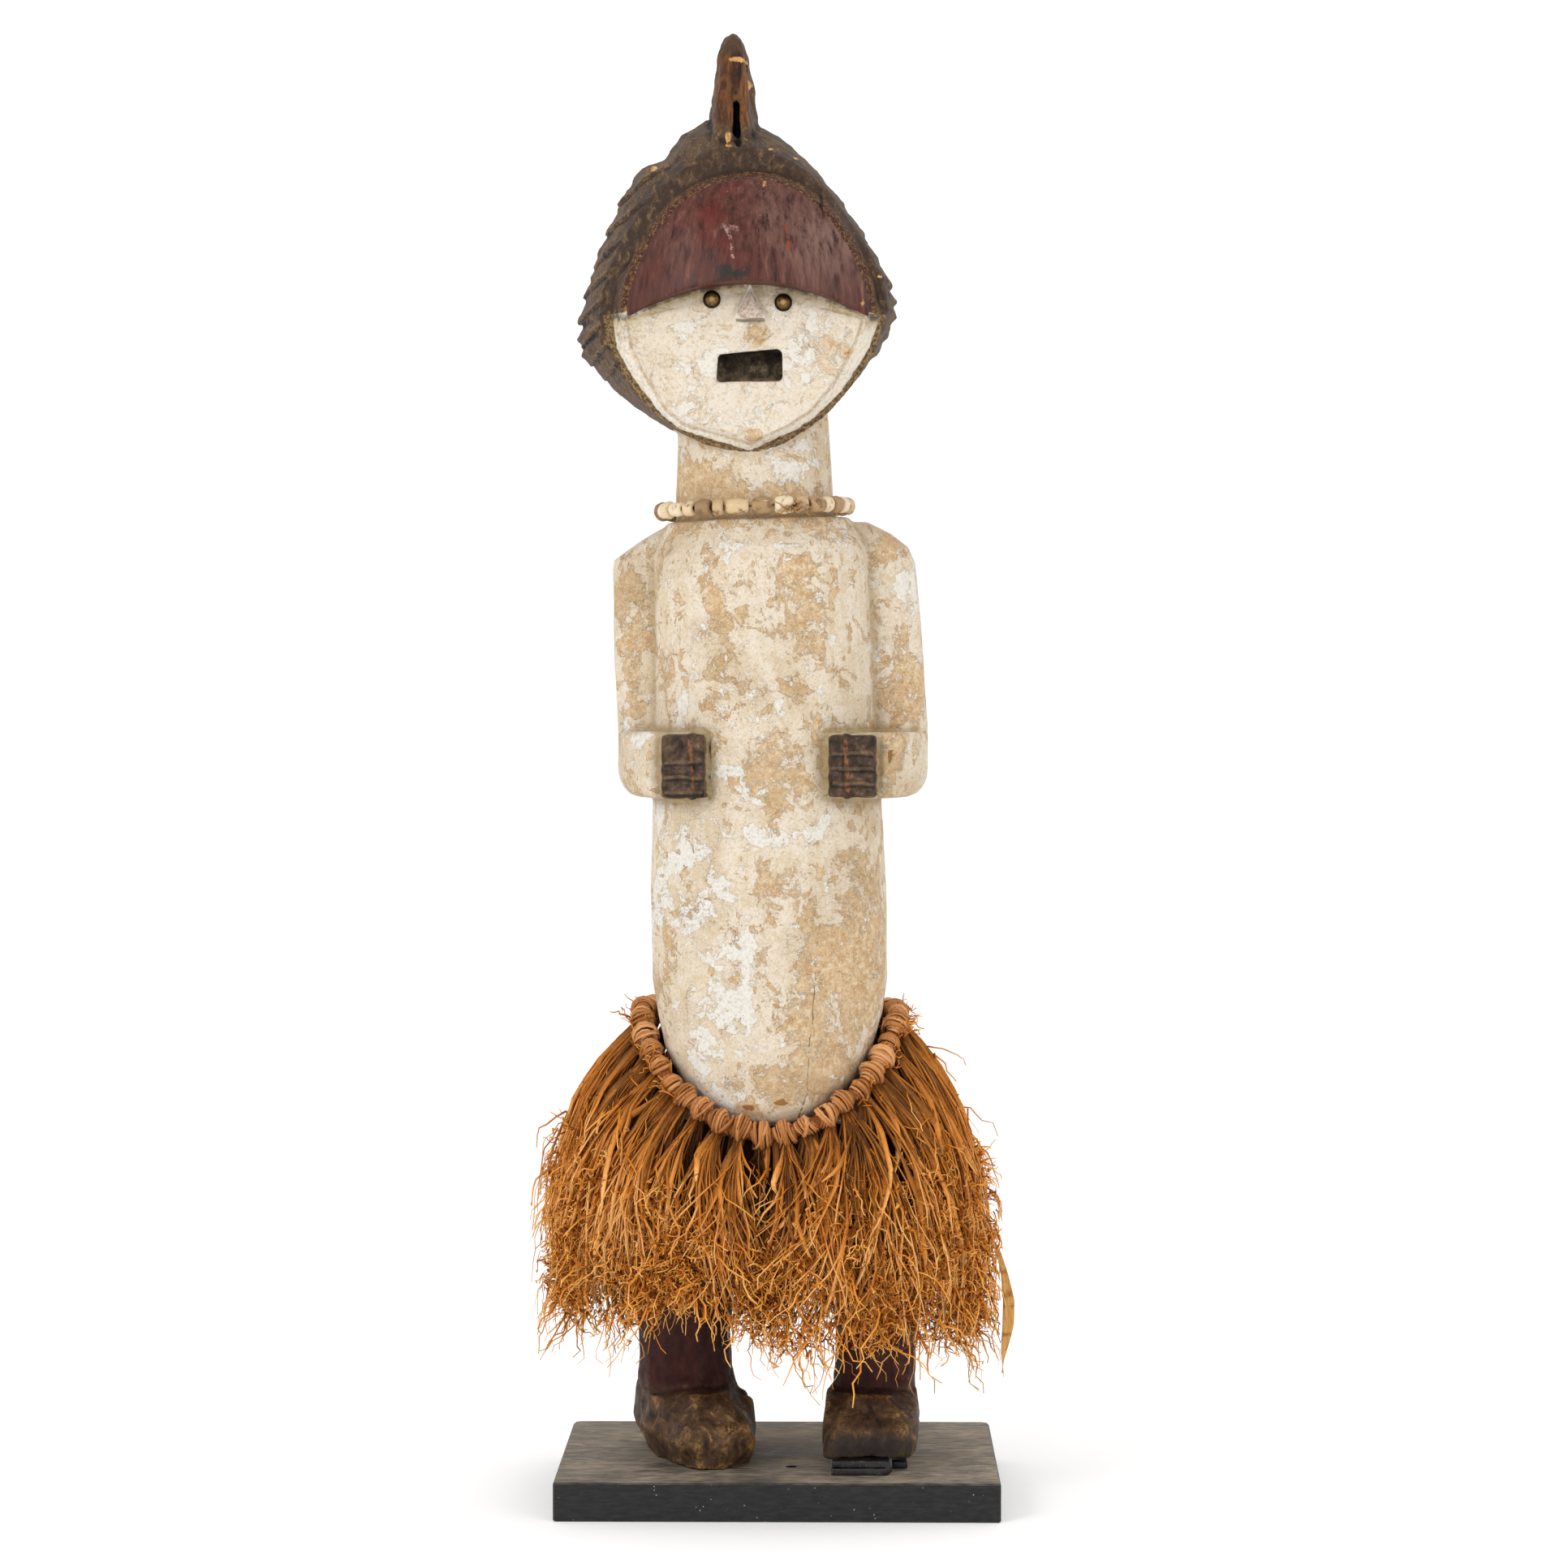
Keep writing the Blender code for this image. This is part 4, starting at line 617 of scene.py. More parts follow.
def weathered_hair(mix, pitted, wood_grain):
    """Dark weathered wood: browner on the crest, pale where it is chipped, lapped at the sides with a painted
    shadow under each lock and a painted highlight on its ridge, and painted shade in the hollows.
    """
    edge_at, hollow_at, lap = mix.attribute("edge"), mix.attribute("hollow"), mix.attribute("lap")
    tone = mix.ramp(wood_grain, ((0.30, "#1a120d"), (0.44, "#3b2b20"), (0.58, "#5d4836"), (0.74, "#957959")))
    tone = mix.mix(mix.noise(34, 8, 0.7).step(0.48, 0.62) * 0.6, tone, "#59432f")
    tone = mix.mix(pitted.step(0.53, 0.64) * 0.55, tone, "#96794f")
    # painted shadow: a near-black line under each lapped lock
    lap_shadow = mix.calc("MAXIMUM", lap.step(0.86, 0.99), lap.step(0.05, 0)) * mix.attribute("lapped")
    tone = mix.mix(lap_shadow * 0.85, tone, "#15100c")
    # painted highlight: a lighter line along each lock's ridge
    ridge = lap.step(0.05, 0.12) * lap.step(0.28, 0.16)
    ridge = ridge * mix.attribute("lapped") * pitted.step(0.45, 0.62)
    tone = mix.mix(ridge * 0.8, tone, "#8a6f4c")
    tone = mix.mix(edge_at.step(0.25, 0.8) * pitted.step(0.45, 0.6), tone, "#826743")
    # painted shade: the hair goes near black in its hollows
    tone = mix.mix(hollow_at.step(0.05, 0.5), tone, "#130e0b")
    _, at_y, at_z = mix.axes(mix.place)
    crest = at_z.step(0.866, 0.876) * at_y.step(-0.014, -0.020)
    long_grain = mix.noise(95, 6, 0.7, 0.8, mix.stretched(1, 1, 0.3))
    stops = ((0.34, "#1e120b"), (0.46, "#452a18"), (0.57, "#744924"), (0.72, "#a06c39"))
    broken = mix.ramp(long_grain, stops)
    broken = mix.mix(at_z.step(0.914, 0.921), broken, "#4a3524")
    return mix.mix(crest * hollow_at.step(0.35, 0), tone, broken)


def brow_lacquer(mix, brow_grain, spot):
    """The red-brown panel, satin, with a painted sheen that makes it greyer and lighter to the right, with
    its scratches and worn patch.
    """
    tone = mix.ramp(brow_grain, ((0.32, "#28120e"), (0.44, "#47241d"), (0.60, "#5d352b"), (0.76, "#855a4c")))
    red = mix.attribute("redder") * mix.noise(60, 5, 0.6).step(0.38, 0.62)
    tone = mix.mix(red * 0.6, tone, "#651f15")
    # painted sheen: greyer, lighter patches, strongest on the right
    brow_sheen = mix.attribute("brow_sheen") * brow_grain.step(0.28, 0.62)
    tone = mix.mix(brow_sheen * 0.5, tone, "#94796e")
    tone = mix.mix(mix.noise(330, 4, 0.6).step(0.66, 0.74) * 0.6, tone, "#8d6459")
    worn_low = mix.scratch(front(-40, 824.5), front(-23, 826), 0.0068, spot)
    worn_low = worn_low * mix.noise(170, 5, 0.6).step(0.42, 0.56)
    tone = mix.mix(worn_low, tone, "#2a2522")
    for start, end, half, code in (
        ((-34, 855), (-32, 848), 0.0016, "#a28276"),
        ((-31, 844), (-29.5, 835), 0.0013, "#a28276"),
        ((-37, 858), (-27, 855), 0.0026, "#8d6a60"),
        ((-9.5, 884), (-5, 852), 0.0007, "#1f1110"),
        ((6, 858), (7.5, 840), 0.0014, "#8d3d22"),
        ((-12, 858), (-12.5, 835), 0.0005, "#2a1515"),
    ):
        patchy = mix.noise(420, 3, 0.6).step(0.40, 0.60)
        line = mix.scratch(front(*start), front(*end), half, spot) * patchy
        tone = mix.mix(line, tone, code)
    return tone


def dark_hands(mix, pitted, spot):
    """Oiled dark wood, with orange wood at the worn ridges, paler knife lines between the fingers and a
    painted shadow line in each finger groove.
    """
    stops = ((0.34, "#1d150f"), (0.48, "#3e2f24"), (0.60, "#5b4736"), (0.74, "#957654"))
    tone = mix.ramp(mix.noise(140, 7, 0.66), stops)
    broken = mix.noise(230, 5, 0.65).step(0.44, 0.62)
    for low, high, ridge, first in HANDS:
        for up in (first, first - FINGER_PITCH, first - 2 * FINGER_PITCH):
            line = mix.scratch(front(low + 6, up + 1), front(high - 5, up + 0.5), 0.0014, spot)
            tone = mix.mix(line * broken.step(0, 1, 0.25, 0.55), tone, "#80664a")
            # painted shadow: a near-black line in each finger groove
            groove_shadow = mix.scratch(front(low + 5, up - 1.2), front(high - 5, up - 1.8), 0.0012, spot)
            tone = mix.mix(groove_shadow * 0.6, tone, "#0e0a08")
        line = mix.scratch(front(ridge - 1.5, 507), front(ridge + 1.5, 470), 0.0017, spot)
        tone = mix.mix(line * (broken * 0.8), tone, "#995a2c")
    border = mix.attribute("hand").step(3.4, 0.6) * pitted.step(0.42, 0.52)
    return mix.mix(border * 0.7, tone, "#8a6f4c")


def carved_finish():
    mix = Finish("flaking_paint_on_carved_wood", gloss=0.22)
    hollow_at, grime_and_shade, brow_at = mix.attribute("hollow"), mix.attribute("grime_and_shade"), mix.attribute("brow")
    at_x, at_y, at_z = mix.axes(mix.place)
    pitted = mix.noise(480, 5, 0.7)
    fine = mix.noise(1500, 3, 0.7)
    streaks = mix.noise(110, 4, 0.6, 0.3, mix.stretched(1, 1, 0.12))
    wood_grain = mix.noise(230, 6, 0.65, 0.6, mix.stretched(1, 0.18, 0.6))
    brow_grain = mix.noise(270, 7, 0.68, 0.25, mix.stretched(1, 1, 0.07))
    sway = mix.noise(70, 5, 0.5, out="Color")
    centred = mix.vector("SUBTRACT", sway, (0.5, 0.5, 0.5))
    pushed = mix.vector("MULTIPLY_ADD", centred, (0.005, 0, 0.005), mix.place)
    spot = mix.vector("MULTIPLY", pushed, (1, 0, 1))

    # the paint, darkened in its hollows with grime and painted shade, the line of the jaw band, and the
    # drying crack
    paint, crust = clay_paint(mix, pitted, streaks)
    # grime with painted shade: the paint turns a darker tan in hollows and creases
    hollow_grime_and_shade = hollow_at.step(0.05, 0.6) * pitted.step(0.2, 0.6, 0.6, 1)
    paint = mix.mix(hollow_grime_and_shade * 0.7, paint, "#a08863")
    on_face = mix.attribute("jaw_edge").step(-0.5, 0.5) * pitted.step(0.62, 0.46, 0.15, 0.6)
    on_face = on_face * mix.attribute("lost").step(0.16, 0.06)
    paint = mix.mix(on_face * 0.75, paint, "#e0d8ca")
    in_band = mix.attribute("jaw").step(0, -1.2) * mix.attribute("jaw_edge").step(-0.5, 0.5)
    paint = mix.mix(in_band * pitted.step(0.58, 0.48, 0, 0.6), paint, "#e2dccf")
    # a tan-brown line along the band's inner crease: wear and grime with painted shade
    line = mix.attribute("jaw").step(-1.5, -0.5) * mix.attribute("jaw").step(1.3, 0.4)
    line = line * mix.attribute("jaw_edge").step(1, 3)
    paint = mix.mix(line * pitted.step(0.35, 0.6, 0.15, 0.6), paint, "#a38358")
    # grime with painted shade below the brow and round the hands, darkest right under the brow's edge
    grime_and_shade_mask = grime_and_shade * mix.noise(110, 7, 0.7).step(0.34, 0.58, 0.35, 1)
    grime_and_shade_colour = mix.mix(grime_and_shade.step(0.78, 1), "#9c875c", "#4d412d")
    paint = mix.mix(grime_and_shade_mask * 0.95, paint, grime_and_shade_colour)
    on_nose = mix.attribute("nose").step(0.8, 1.6)
    # painted highlight: a pale line round the nose facet
    nose_highlight = mix.attribute("nose").step(-1, 0) * mix.attribute("nose").step(1.8, 0.9)
    paint = mix.mix(nose_highlight * 0.8, paint, "#e4ded3")
    paint = mix.mix(on_nose * 0.9, paint, mix.mix(pitted.step(0.42, 0.60), "#d0c1b1", "#a68b7b"))
    # painted shadow: a dark line under the nose's base
    nose_shadow = mix.scratch(front(-28.5, 794.6), front(-9, 793.8), 0.0013, spot)
    paint = mix.mix(nose_shadow * 0.75, paint, "#6d5d49")
    crack = mix.scratch(front(29, 378), front(25, 330), 0.00035, spot)
    for start, end, half in (
        ((25, 330), (22, 290), 0.0005), ((22, 290), (20, 262), 0.00035),
        ((20, 262), (14.5, 244), 0.0008),
    ):
        crack = mix.calc("MAXIMUM", crack, mix.scratch(front(*start), front(*end), half, spot))
    crack = crack * (at_y.step(-0.02, -0.03) * mix.noise(160, 4, 0.6).step(0.44, 0.54))
    paint = mix.mix(crack * 0.7, paint, "#5e4930")

    # hair round the head, a dark band and a reddish rim next to the brow, gritty brown by the jaw
    hair_tone = weathered_hair(mix, pitted, wood_grain)
    rim_at = mix.attribute("brow_rim")
    band = brow_at.step(-21, -17) * rim_at.step(-6, -8)
    hair_tone = mix.mix(band * wood_grain.step(0.62, 0.44, 0.25, 0.8), hair_tone, "#36261b")
    rim = mix.mix(pitted.step(0.46, 0.66), "#3a2018", "#8a6238")
    hair_tone = mix.mix(brow_at.step(-5, -3) * rim_at.step(-8, -5), hair_tone, rim)
    gritty = mix.mix(pitted.step(0.42, 0.62), "#4a3a28", "#94774e")
    hair_tone = mix.mix(mix.attribute("jaw_edge").step(-7, -4.5), hair_tone, gritty)
    split = mix.scratch(front(29.8, 880), front(30.6, 867), 0.0017, spot)
    split = mix.calc("MAXIMUM", split, mix.scratch(front(-29.5, 949), front(-27.6, 919), 0.0012, spot))
    hair_tone = mix.mix(split * at_y.step(-0.01, -0.016), hair_tone, "#0d0908")
    chipped = (mix.attribute("chip") + pitted * 0.9).step(0.86, 0.98)
    pale = mix.mix(wood_grain.step(0.4, 0.6), "#d8ab6c", "#b07f48")
    brow_tone = brow_lacquer(mix, brow_grain, spot)
    hand_tone = dark_hands(mix, pitted, spot)

    # legs stained dark red-brown, the feet browner with tan wear, one toe painted black
    leg_grain = mix.noise(120, 6, 0.65, 0.5, mix.stretched(1, 1, 0.3))
    leg_tone = mix.ramp(leg_grain, ((0.28, "#1f0f0c"), (0.5, "#3a1a15"), (0.7, "#4c241c"), (0.88, "#613a2b")))
    foot_grain = mix.noise(95, 9, 0.74, 0.5)
    stops = ((0.36, "#1f150e"), (0.48, "#44301f"), (0.58, "#5f4530"), (0.66, "#a58455"))
    foot_tone = mix.ramp(foot_grain, stops)
    leg_tone = mix.mix(at_z.step(0.076, 0.060), leg_tone, foot_tone)
    edge_wear = mix.attribute("edge").step(0.15, 0.7) * pitted.step(0.42, 0.58)
    leg_tone = mix.mix(edge_wear, leg_tone, "#93703f")
    fold = mix.scratch(front(-55.5, 99), front(-34, 88), 0.0013, spot)
    leg_tone = mix.mix(fold * at_y.step(-0.01, -0.02), leg_tone, "#120907")
    black_toe = at_y.step(-0.062, -0.066) * at_x.step(0.02, 0.024)
    toe_top = at_z + foot_grain * 0.01
    leg_tone = mix.mix(black_toe * toe_top.step(0.056, 0.049, 0, 0.85), leg_tone, "#242120")

    # the finishes meet along ragged brushed edges
    ragged = (mix.noise(230, 5, 0.6) - 0.5) * 3
    is_hair = (mix.attribute("hair") + ragged).step(-0.2, 0.5)
    is_brow = (mix.calc("MINIMUM", brow_at, rim_at) + ragged * 0.4).step(-0.3, 0.3)
    is_hand = (mix.attribute("hand") + ragged * 0.7).step(-0.2, 0.4)
    is_leg = (mix.attribute("leg") + ragged).step(-0.2, 0.5)
    in_mouth = (mix.attribute("mouth") + ragged * 0.5).step(-0.3, 0.6)
    colour = mix.mix(is_hair, paint, hair_tone)
    colour = mix.mix(is_brow, colour, brow_tone)
    colour = mix.mix(chipped * mix.calc("MAXIMUM", is_hair, is_brow), colour, pale)
    colour = mix.mix(is_hand, colour, hand_tone)
    colour = mix.mix(is_leg, colour, leg_tone)
    # painted shade inside the mouth recess, darkest at the top and paling to grime at its floor
    mouth_up = (at_z - front(0, 750)[1]) * 12
    mouth_at = mix.noise(130, 5, 0.7) - mouth_up
    stops = ((0.14, "#120d09"), (0.32, "#3a3025"), (0.46, "#6a5c46"), (0.62, "#8d7b5e"))
    mouth_shade_and_grime = mix.ramp(mouth_at, stops)
    colour = mix.mix(in_mouth, colour, mouth_shade_and_grime)

    rough = pitted.step(0.2, 0.8, 0.80, 0.96)
    bare_wood = mix.calc("MAXIMUM", is_hair, is_leg)
    rough = mix.mix(bare_wood, rough, wood_grain.step(0.3, 0.7, 0.52, 0.80))
    rough = mix.mix(is_brow, rough, brow_grain.step(0.3, 0.7, 0.32, 0.55))
    rough = mix.mix(is_hand, rough, pitted.step(0.3, 0.7, 0.42, 0.65))
    crust = crust - (crack * 0.8 + line * 0.8)
    dark_wood = mix.calc("MAXIMUM", bare_wood, mix.calc("MAXIMUM", is_brow, is_hand))
    grain = mix.mix(is_brow, wood_grain, brow_grain) * 0.9
    normal = mix.bump(mix.mix(dark_wood, crust, grain), 0.0006, 0.8)
    return mix.apply(colour, rough, mix.bump(fine, 0.00012, 0.5, normal))


figure = placed("carved_figure_painted", figure_mesh)
thin = figure.modifiers.new("fewer facets", "DECIMATE")
thin.ratio = min(1.0, FIGURE_TRIANGLES / (2.0 * len(figure_mesh.polygons)))
figure_mesh = worked_out(figure)
figure.modifiers.clear()
figure.data = figure_mesh
figure_mesh.shade_smooth()
dress(figure, carved_finish())
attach(figure, "root")
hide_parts("carved_figure")


# The eyes are two domed upholstery tacks of brass, browned with age. Their shanks are driven into
# the face, close under the brow panel.
TACK_RISE = 0.0036


def turned(corners, centre, axis, steps):
    """The shape that a chain of points sweeps out, turned once round an axis."""
    bm = bmesh.new()
    rim = [bm.verts.new(corner) for corner in corners]
    edges = [bm.edges.new(pair) for pair in zip(rim, rim[1:])]
    bmesh.ops.spin(bm, geom=rim + edges, cent=centre, axis=axis, angle=2.0 * math.pi, steps=steps,
                   use_merge=True)
    bmesh.ops.remove_doubles(bm, verts=bm.verts, dist=1e-6)
    bmesh.ops.recalc_face_normals(bm, faces=bm.faces)
    return bm


def brass_finish():
    mix = Finish("browned_brass", 0.4, 1)
    tarnish = mix.noise(700, 5, 0.65)
    dull = mix.noise(240, 4, 0.6)
    colour = mix.ramp(tarnish, ((0.3, "#3a2c1c"), (0.5, "#6b5231"), (0.7, "#8f7143"), (0.85, "#b09263")))
    colour = mix.mix(dull.step(0.52, 0.7), colour, "#2c241c")
    # painted shade in a dark ring near the rim, and a painted highlight in the middle of the dome
    rim = mix.attribute("rim") + (tarnish - 0.5) * 0.5
    colour = mix.mix(rim.step(0.55, 0.90), colour, "#2b2119")
    colour = mix.mix(rim.step(0.42, 0.15), colour, "#b39260")
    return mix.apply(colour, dull.step(0.3, 0.7, 0.32, 0.6), mix.bump(tarnish, 0.0002, 0.5))


brass = brass_finish()
for tack in ("eye_tack_left", "eye_tack_right"):
    low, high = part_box(tack)
    middle = (low + high) / 2.0
    radius = (high.x - low.x) / 2.0
    profile = [(0.0, -TACK_RISE)]
    for turn in (0.2, 0.45, 0.7, 0.95, 1.2, 1.4):
        profile.append((radius * math.sin(turn), -TACK_RISE * math.cos(turn) ** 0.8))
    profile += [(radius, -0.0004), (radius * 0.98, 0.0), (radius * 0.7, 0.0002)]
    profile += [(0.0009, 0.0003), (0.0009, 0.006), (0.0, 0.0085)]
    face_y = low.y + TACK_RISE
    corners = [(middle.x + r, face_y + d, middle.z) for r, d in profile]
    bm = turned(corners, (middle.x, 0.0, middle.z), (0.0, 1.0, 0.0), 28)
    rims = [math.hypot(v.co.x - middle.x, v.co.z - middle.z) / radius for v in bm.verts]
    paint_layer(add_piece(f"{tack}_domed", bm, brass, "brass", tack).data, "rim", rims)


# The necklace is a cord threaded with worn discs of bone and shell, its ends tied at the front in
# a small frayed knot.
def bone_finish():
    mix = Finish("worn_bone", gloss=0.35)
    tone = mix.attribute("tone")
    layers = mix.noise(320, 5, 0.65, 0.6)
    blot = mix.noise(150, 4, 0.6)
    colour = mix.ramp(tone, ((0, "#775a3c"), (0.25, "#b08f66"), (0.6, "#d8bc94"), (1, "#ead8b8")))
    colour = mix.mix((blot + tone * -0.15).step(0.45, 0.60), colour, "#7d6245")
    colour = mix.mix(layers.step(0.60, 0.74), colour, "#e3d6bd")
    colour = mix.mix(layers.step(0.36, 0.26), colour, "#4e3b29")
    return mix.apply(colour, layers.step(0.3, 0.7, 0.45, 0.7), mix.bump(layers, 0.0005, 0.6))


bone = bone_finish()
rng = random.Random(21)
bead_names = sorted(name for name in nodes if name.startswith("bead_"))
for bead in bead_names:
    bm = merged_copy(bead)
    flat = [e for e in bm.edges if e.is_manifold and e.calc_face_angle() < math.radians(3)]
    bmesh.ops.dissolve_edges(bm, edges=flat, use_verts=True)
    bmesh.ops.bevel(bm, geom=list(bm.edges), offset=0.0007, segments=1, profile=0.5, affect="EDGES",
                    material=-1)
    bmesh.ops.subdivide_edges(bm, edges=bm.edges, cuts=1, use_grid_fill=True, smooth=0.6)
    bmesh.ops.smooth_vert(bm, verts=bm.verts, factor=0.5, use_axis_x=True, use_axis_y=True, use_axis_z=True)
    co = np.array([v.co for v in bm.verts])
    for vert, wear in zip(bm.verts, lattice_noise(co, 260.0, 31)):
        vert.co += vert.normal * (wear * 0.00035 + 0.0001)
    piece = add_piece(f"{bead}_worn", bm, bone, "bone", bead)
    paint_layer(piece.data, "tone", np.full(len(piece.data.vertices), rng.uniform(0.1, 1.0)))


def fibres(name, paths, radii, tones, profile, material, slot, *stands_for, depths=None):
    """Many bent fibres as one piece: each path is swept with a small profile and closed at its ends."""
    count, steps = paths.shape[:2]
    outline = bpy.data.curves.new(f"{name}_profile", "CURVE")
    loop = outline.splines.new("POLY")
    loop.points.add(len(profile) - 1)
    loop.use_cyclic_u = True
    for point, (across, up) in zip(loop.points, profile):
        point.co = (across, up, 0.0, 1.0)
    outline_object = bpy.data.objects.new(f"{name}_profile", outline)
    curve = bpy.data.curves.new(name, "CURVE")
    curve.dimensions = "3D"
    curve.bevel_mode = "OBJECT"
    curve.bevel_object = outline_object
    curve.use_fill_caps = False
    turns = np.random.default_rng(len(name)).uniform(0.0, 6.28, count)
    for i in range(count):
        strand = curve.splines.new("POLY")
        strand.points.add(steps - 1)
        strand.points.foreach_set("co", np.c_[paths[i], np.ones(steps)].astype(np.float32).ravel())
        strand.points.foreach_set("radius", radii[i].astype(np.float32))
        strand.points.foreach_set("tilt", (turns[i] + np.linspace(0.0, 1.5, steps)).astype(np.float32))
    swept = placed(name, curve)
    mesh = worked_out(swept)
    bpy.data.objects.remove(swept)
    bpy.data.objects.remove(outline_object)
    sides = len(profile)
    paint_layer(mesh, "tone", np.repeat(tones, sides * steps))
    paint_layer(mesh, "along", np.tile(np.repeat(np.linspace(0.0, 1.0, steps), sides), count))
    if depths is not None:
        paint_layer(mesh, "depth", np.repeat(depths, sides * steps))
    bm = bmesh.new()
    bm.from_mesh(mesh)
    bmesh.ops.holes_fill(bm, edges=[e for e in bm.edges if len(e.link_faces) == 1], sides=sides)
    bmesh.ops.recalc_face_normals(bm, faces=bm.faces)
    bpy.data.meshes.remove(mesh)
    return add_piece(name, bm, material, slot, *stands_for)


def fibre_finish(name, stops, gap_shade, shine=0.85):
    """Dried plant fibre: a colour along each strand, changed by its own tone and by fine threads, with
    painted shade in the gaps between threads and on fibres that lie deeper in.
    """
    mix = Finish(name, shine, gloss=0.15)
    along, tone = mix.attribute("along"), mix.attribute("tone")
    thread = mix.noise(900, 4, 0.6, 0, mix.stretched(1, 1, 0.15))
    patch = mix.noise(45, 4, 0.6)
    shift = (tone - 0.5) * 0.85
    shift = shift + (patch - 0.5) * 0.5
    colour = mix.ramp(along + shift, stops)
    # painted shade in the dark gaps between threads
    colour = mix.mix(thread.step(0.42, 0.28), colour, gap_shade)
    colour = mix.mix(thread.step(0.60, 0.75) * 0.5, colour, "#d9a25c")
    # painted shade: fibres lying deeper in turn towards the gap shade colour
    colour = mix.mix(mix.attribute("depth").step(0.25, 0.85, 0, 0.85), colour, gap_shade)
    return mix.apply(colour, None, mix.bump(thread, 0.0004, 0.5))


TRIANGLE = ((-1.0, -0.5), (1.0, -0.5), (0.0, 0.7))
CORD_STEPS, CORD_TWISTS, PLY_TURN = 161, 60.0, 2.094
string_low, string_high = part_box("necklace_string")
string_middle = (string_low + string_high) / 2.0
string_half = (string_high - string_low) / 2.0
numbers = np.random.default_rng(41)
between, around = numbers.uniform, numbers.normal


def necklace_path(turn, rise=0.0, out=0.0):
    """The loop that the string follows round the neck."""
    power = (np.abs(np.cos(turn)) ** 2.5 + np.abs(np.sin(turn)) ** 2.5) ** (-0.4)
    across = (string_half.x - 0.0007 + out) * power * np.cos(turn)
    along = (string_half.y - 0.0007 + out) * power * np.sin(turn)
    up = across * math.tan(math.radians(1.9)) + rise
    return np.stack([string_middle.x + across, string_middle.y + along, string_middle.z + up], axis=-1)


turns = np.linspace(0.0, 2.0 * np.pi, CORD_STEPS)
plies = []
for ply in range(3):
    twist = turns * CORD_TWISTS + ply * PLY_TURN
    plies.append(necklace_path(turns, 0.0004 * np.sin(twist), 0.0004 * np.cos(twist)))
cord_tone = fibre_finish(
    "twisted_fibre_cord", ((0.0, "#3a2a1b"), (0.4, "#5a422a"), (0.7, "#8a683f"), (1.0, "#bb956a")), "#3a2817"
)
fibres("necklace_string_twisted", np.array(plies), np.full((3, CORD_STEPS), 0.00042),
       np.array([0.3, 0.5, 0.7]), TRIANGLE, cord_tone, "fibre_cord", "necklace_string")
knot_turn = -math.pi / 2.0 + 0.42
knot = Vector(necklace_path(np.array([knot_turn]))[0]) + Vector((0.0, -0.0055, -0.0015))
frays = []
for i in range(22):
    heading = around((0.1, -0.2, -0.1), (0.8, 0.2, 0.3))
    walk = np.cumsum(heading * 0.0010 + around(0.0, 0.0006, (9, 3)), axis=0)
    frays.append(np.array(knot) + walk)
fibres("necklace_frayed_knot", np.array(frays), np.tile(np.linspace(0.0008, 0.0003, 9), (22, 1)),
       between(0.9, 1.4, 22), TRIANGLE, cord_tone, "fibre_cord")


# The skirt hangs from a cord round the hips. Bundles of raffia are folded over the cord and hitched,
# so that a row of reddish knots shows under the belly.
AXIS = np.array([-6.5, -4.0]) * UNIT
band_points = np.array([v.co for v in nodes["skirt_waistband"].data.vertices])
band_turn = np.arctan2(band_points[:, 1] - AXIS[1], band_points[:, 0] - AXIS[0])
band_reach = np.hypot(band_points[:, 0] - AXIS[0], band_points[:, 1] - AXIS[1])
bins = np.arange(-180.0, 180.0, 9.0)
nearby = [np.abs((np.degrees(band_turn) - b + 180.0) % 360.0 - 180.0) < 6.0 for b in bins]
bin_reach = [band_reach[n].mean() for n in nearby]
bin_height = [band_points[n, 2].mean() for n in nearby]


def band_at(turn):
    """The waist cord's distance from the axis and its height, in any direction."""
    return [np.interp(np.degrees(turn), bins, values, period=360.0) for values in (bin_reach, bin_height)]


def from_axis(turn, reach, height):
    return np.stack([AXIS[0] + reach * np.cos(turn), AXIS[1] + reach * np.sin(turn), height], axis=-1)


walk = np.linspace(-np.pi, np.pi, 721)
reach, height = band_at(walk)
trail = from_axis(walk, reach, height)
travelled = np.r_[0.0, np.cumsum(np.linalg.norm(np.diff(trail, axis=0), axis=1))]
KNOT_PITCH = 0.0142
KNOTS = round(travelled[-1] / KNOT_PITCH)
knot_turns = np.interp((np.arange(KNOTS) + 0.5) / KNOTS * travelled[-1], travelled, walk)
ring = np.linspace(np.pi, 3.0 * np.pi, 13)

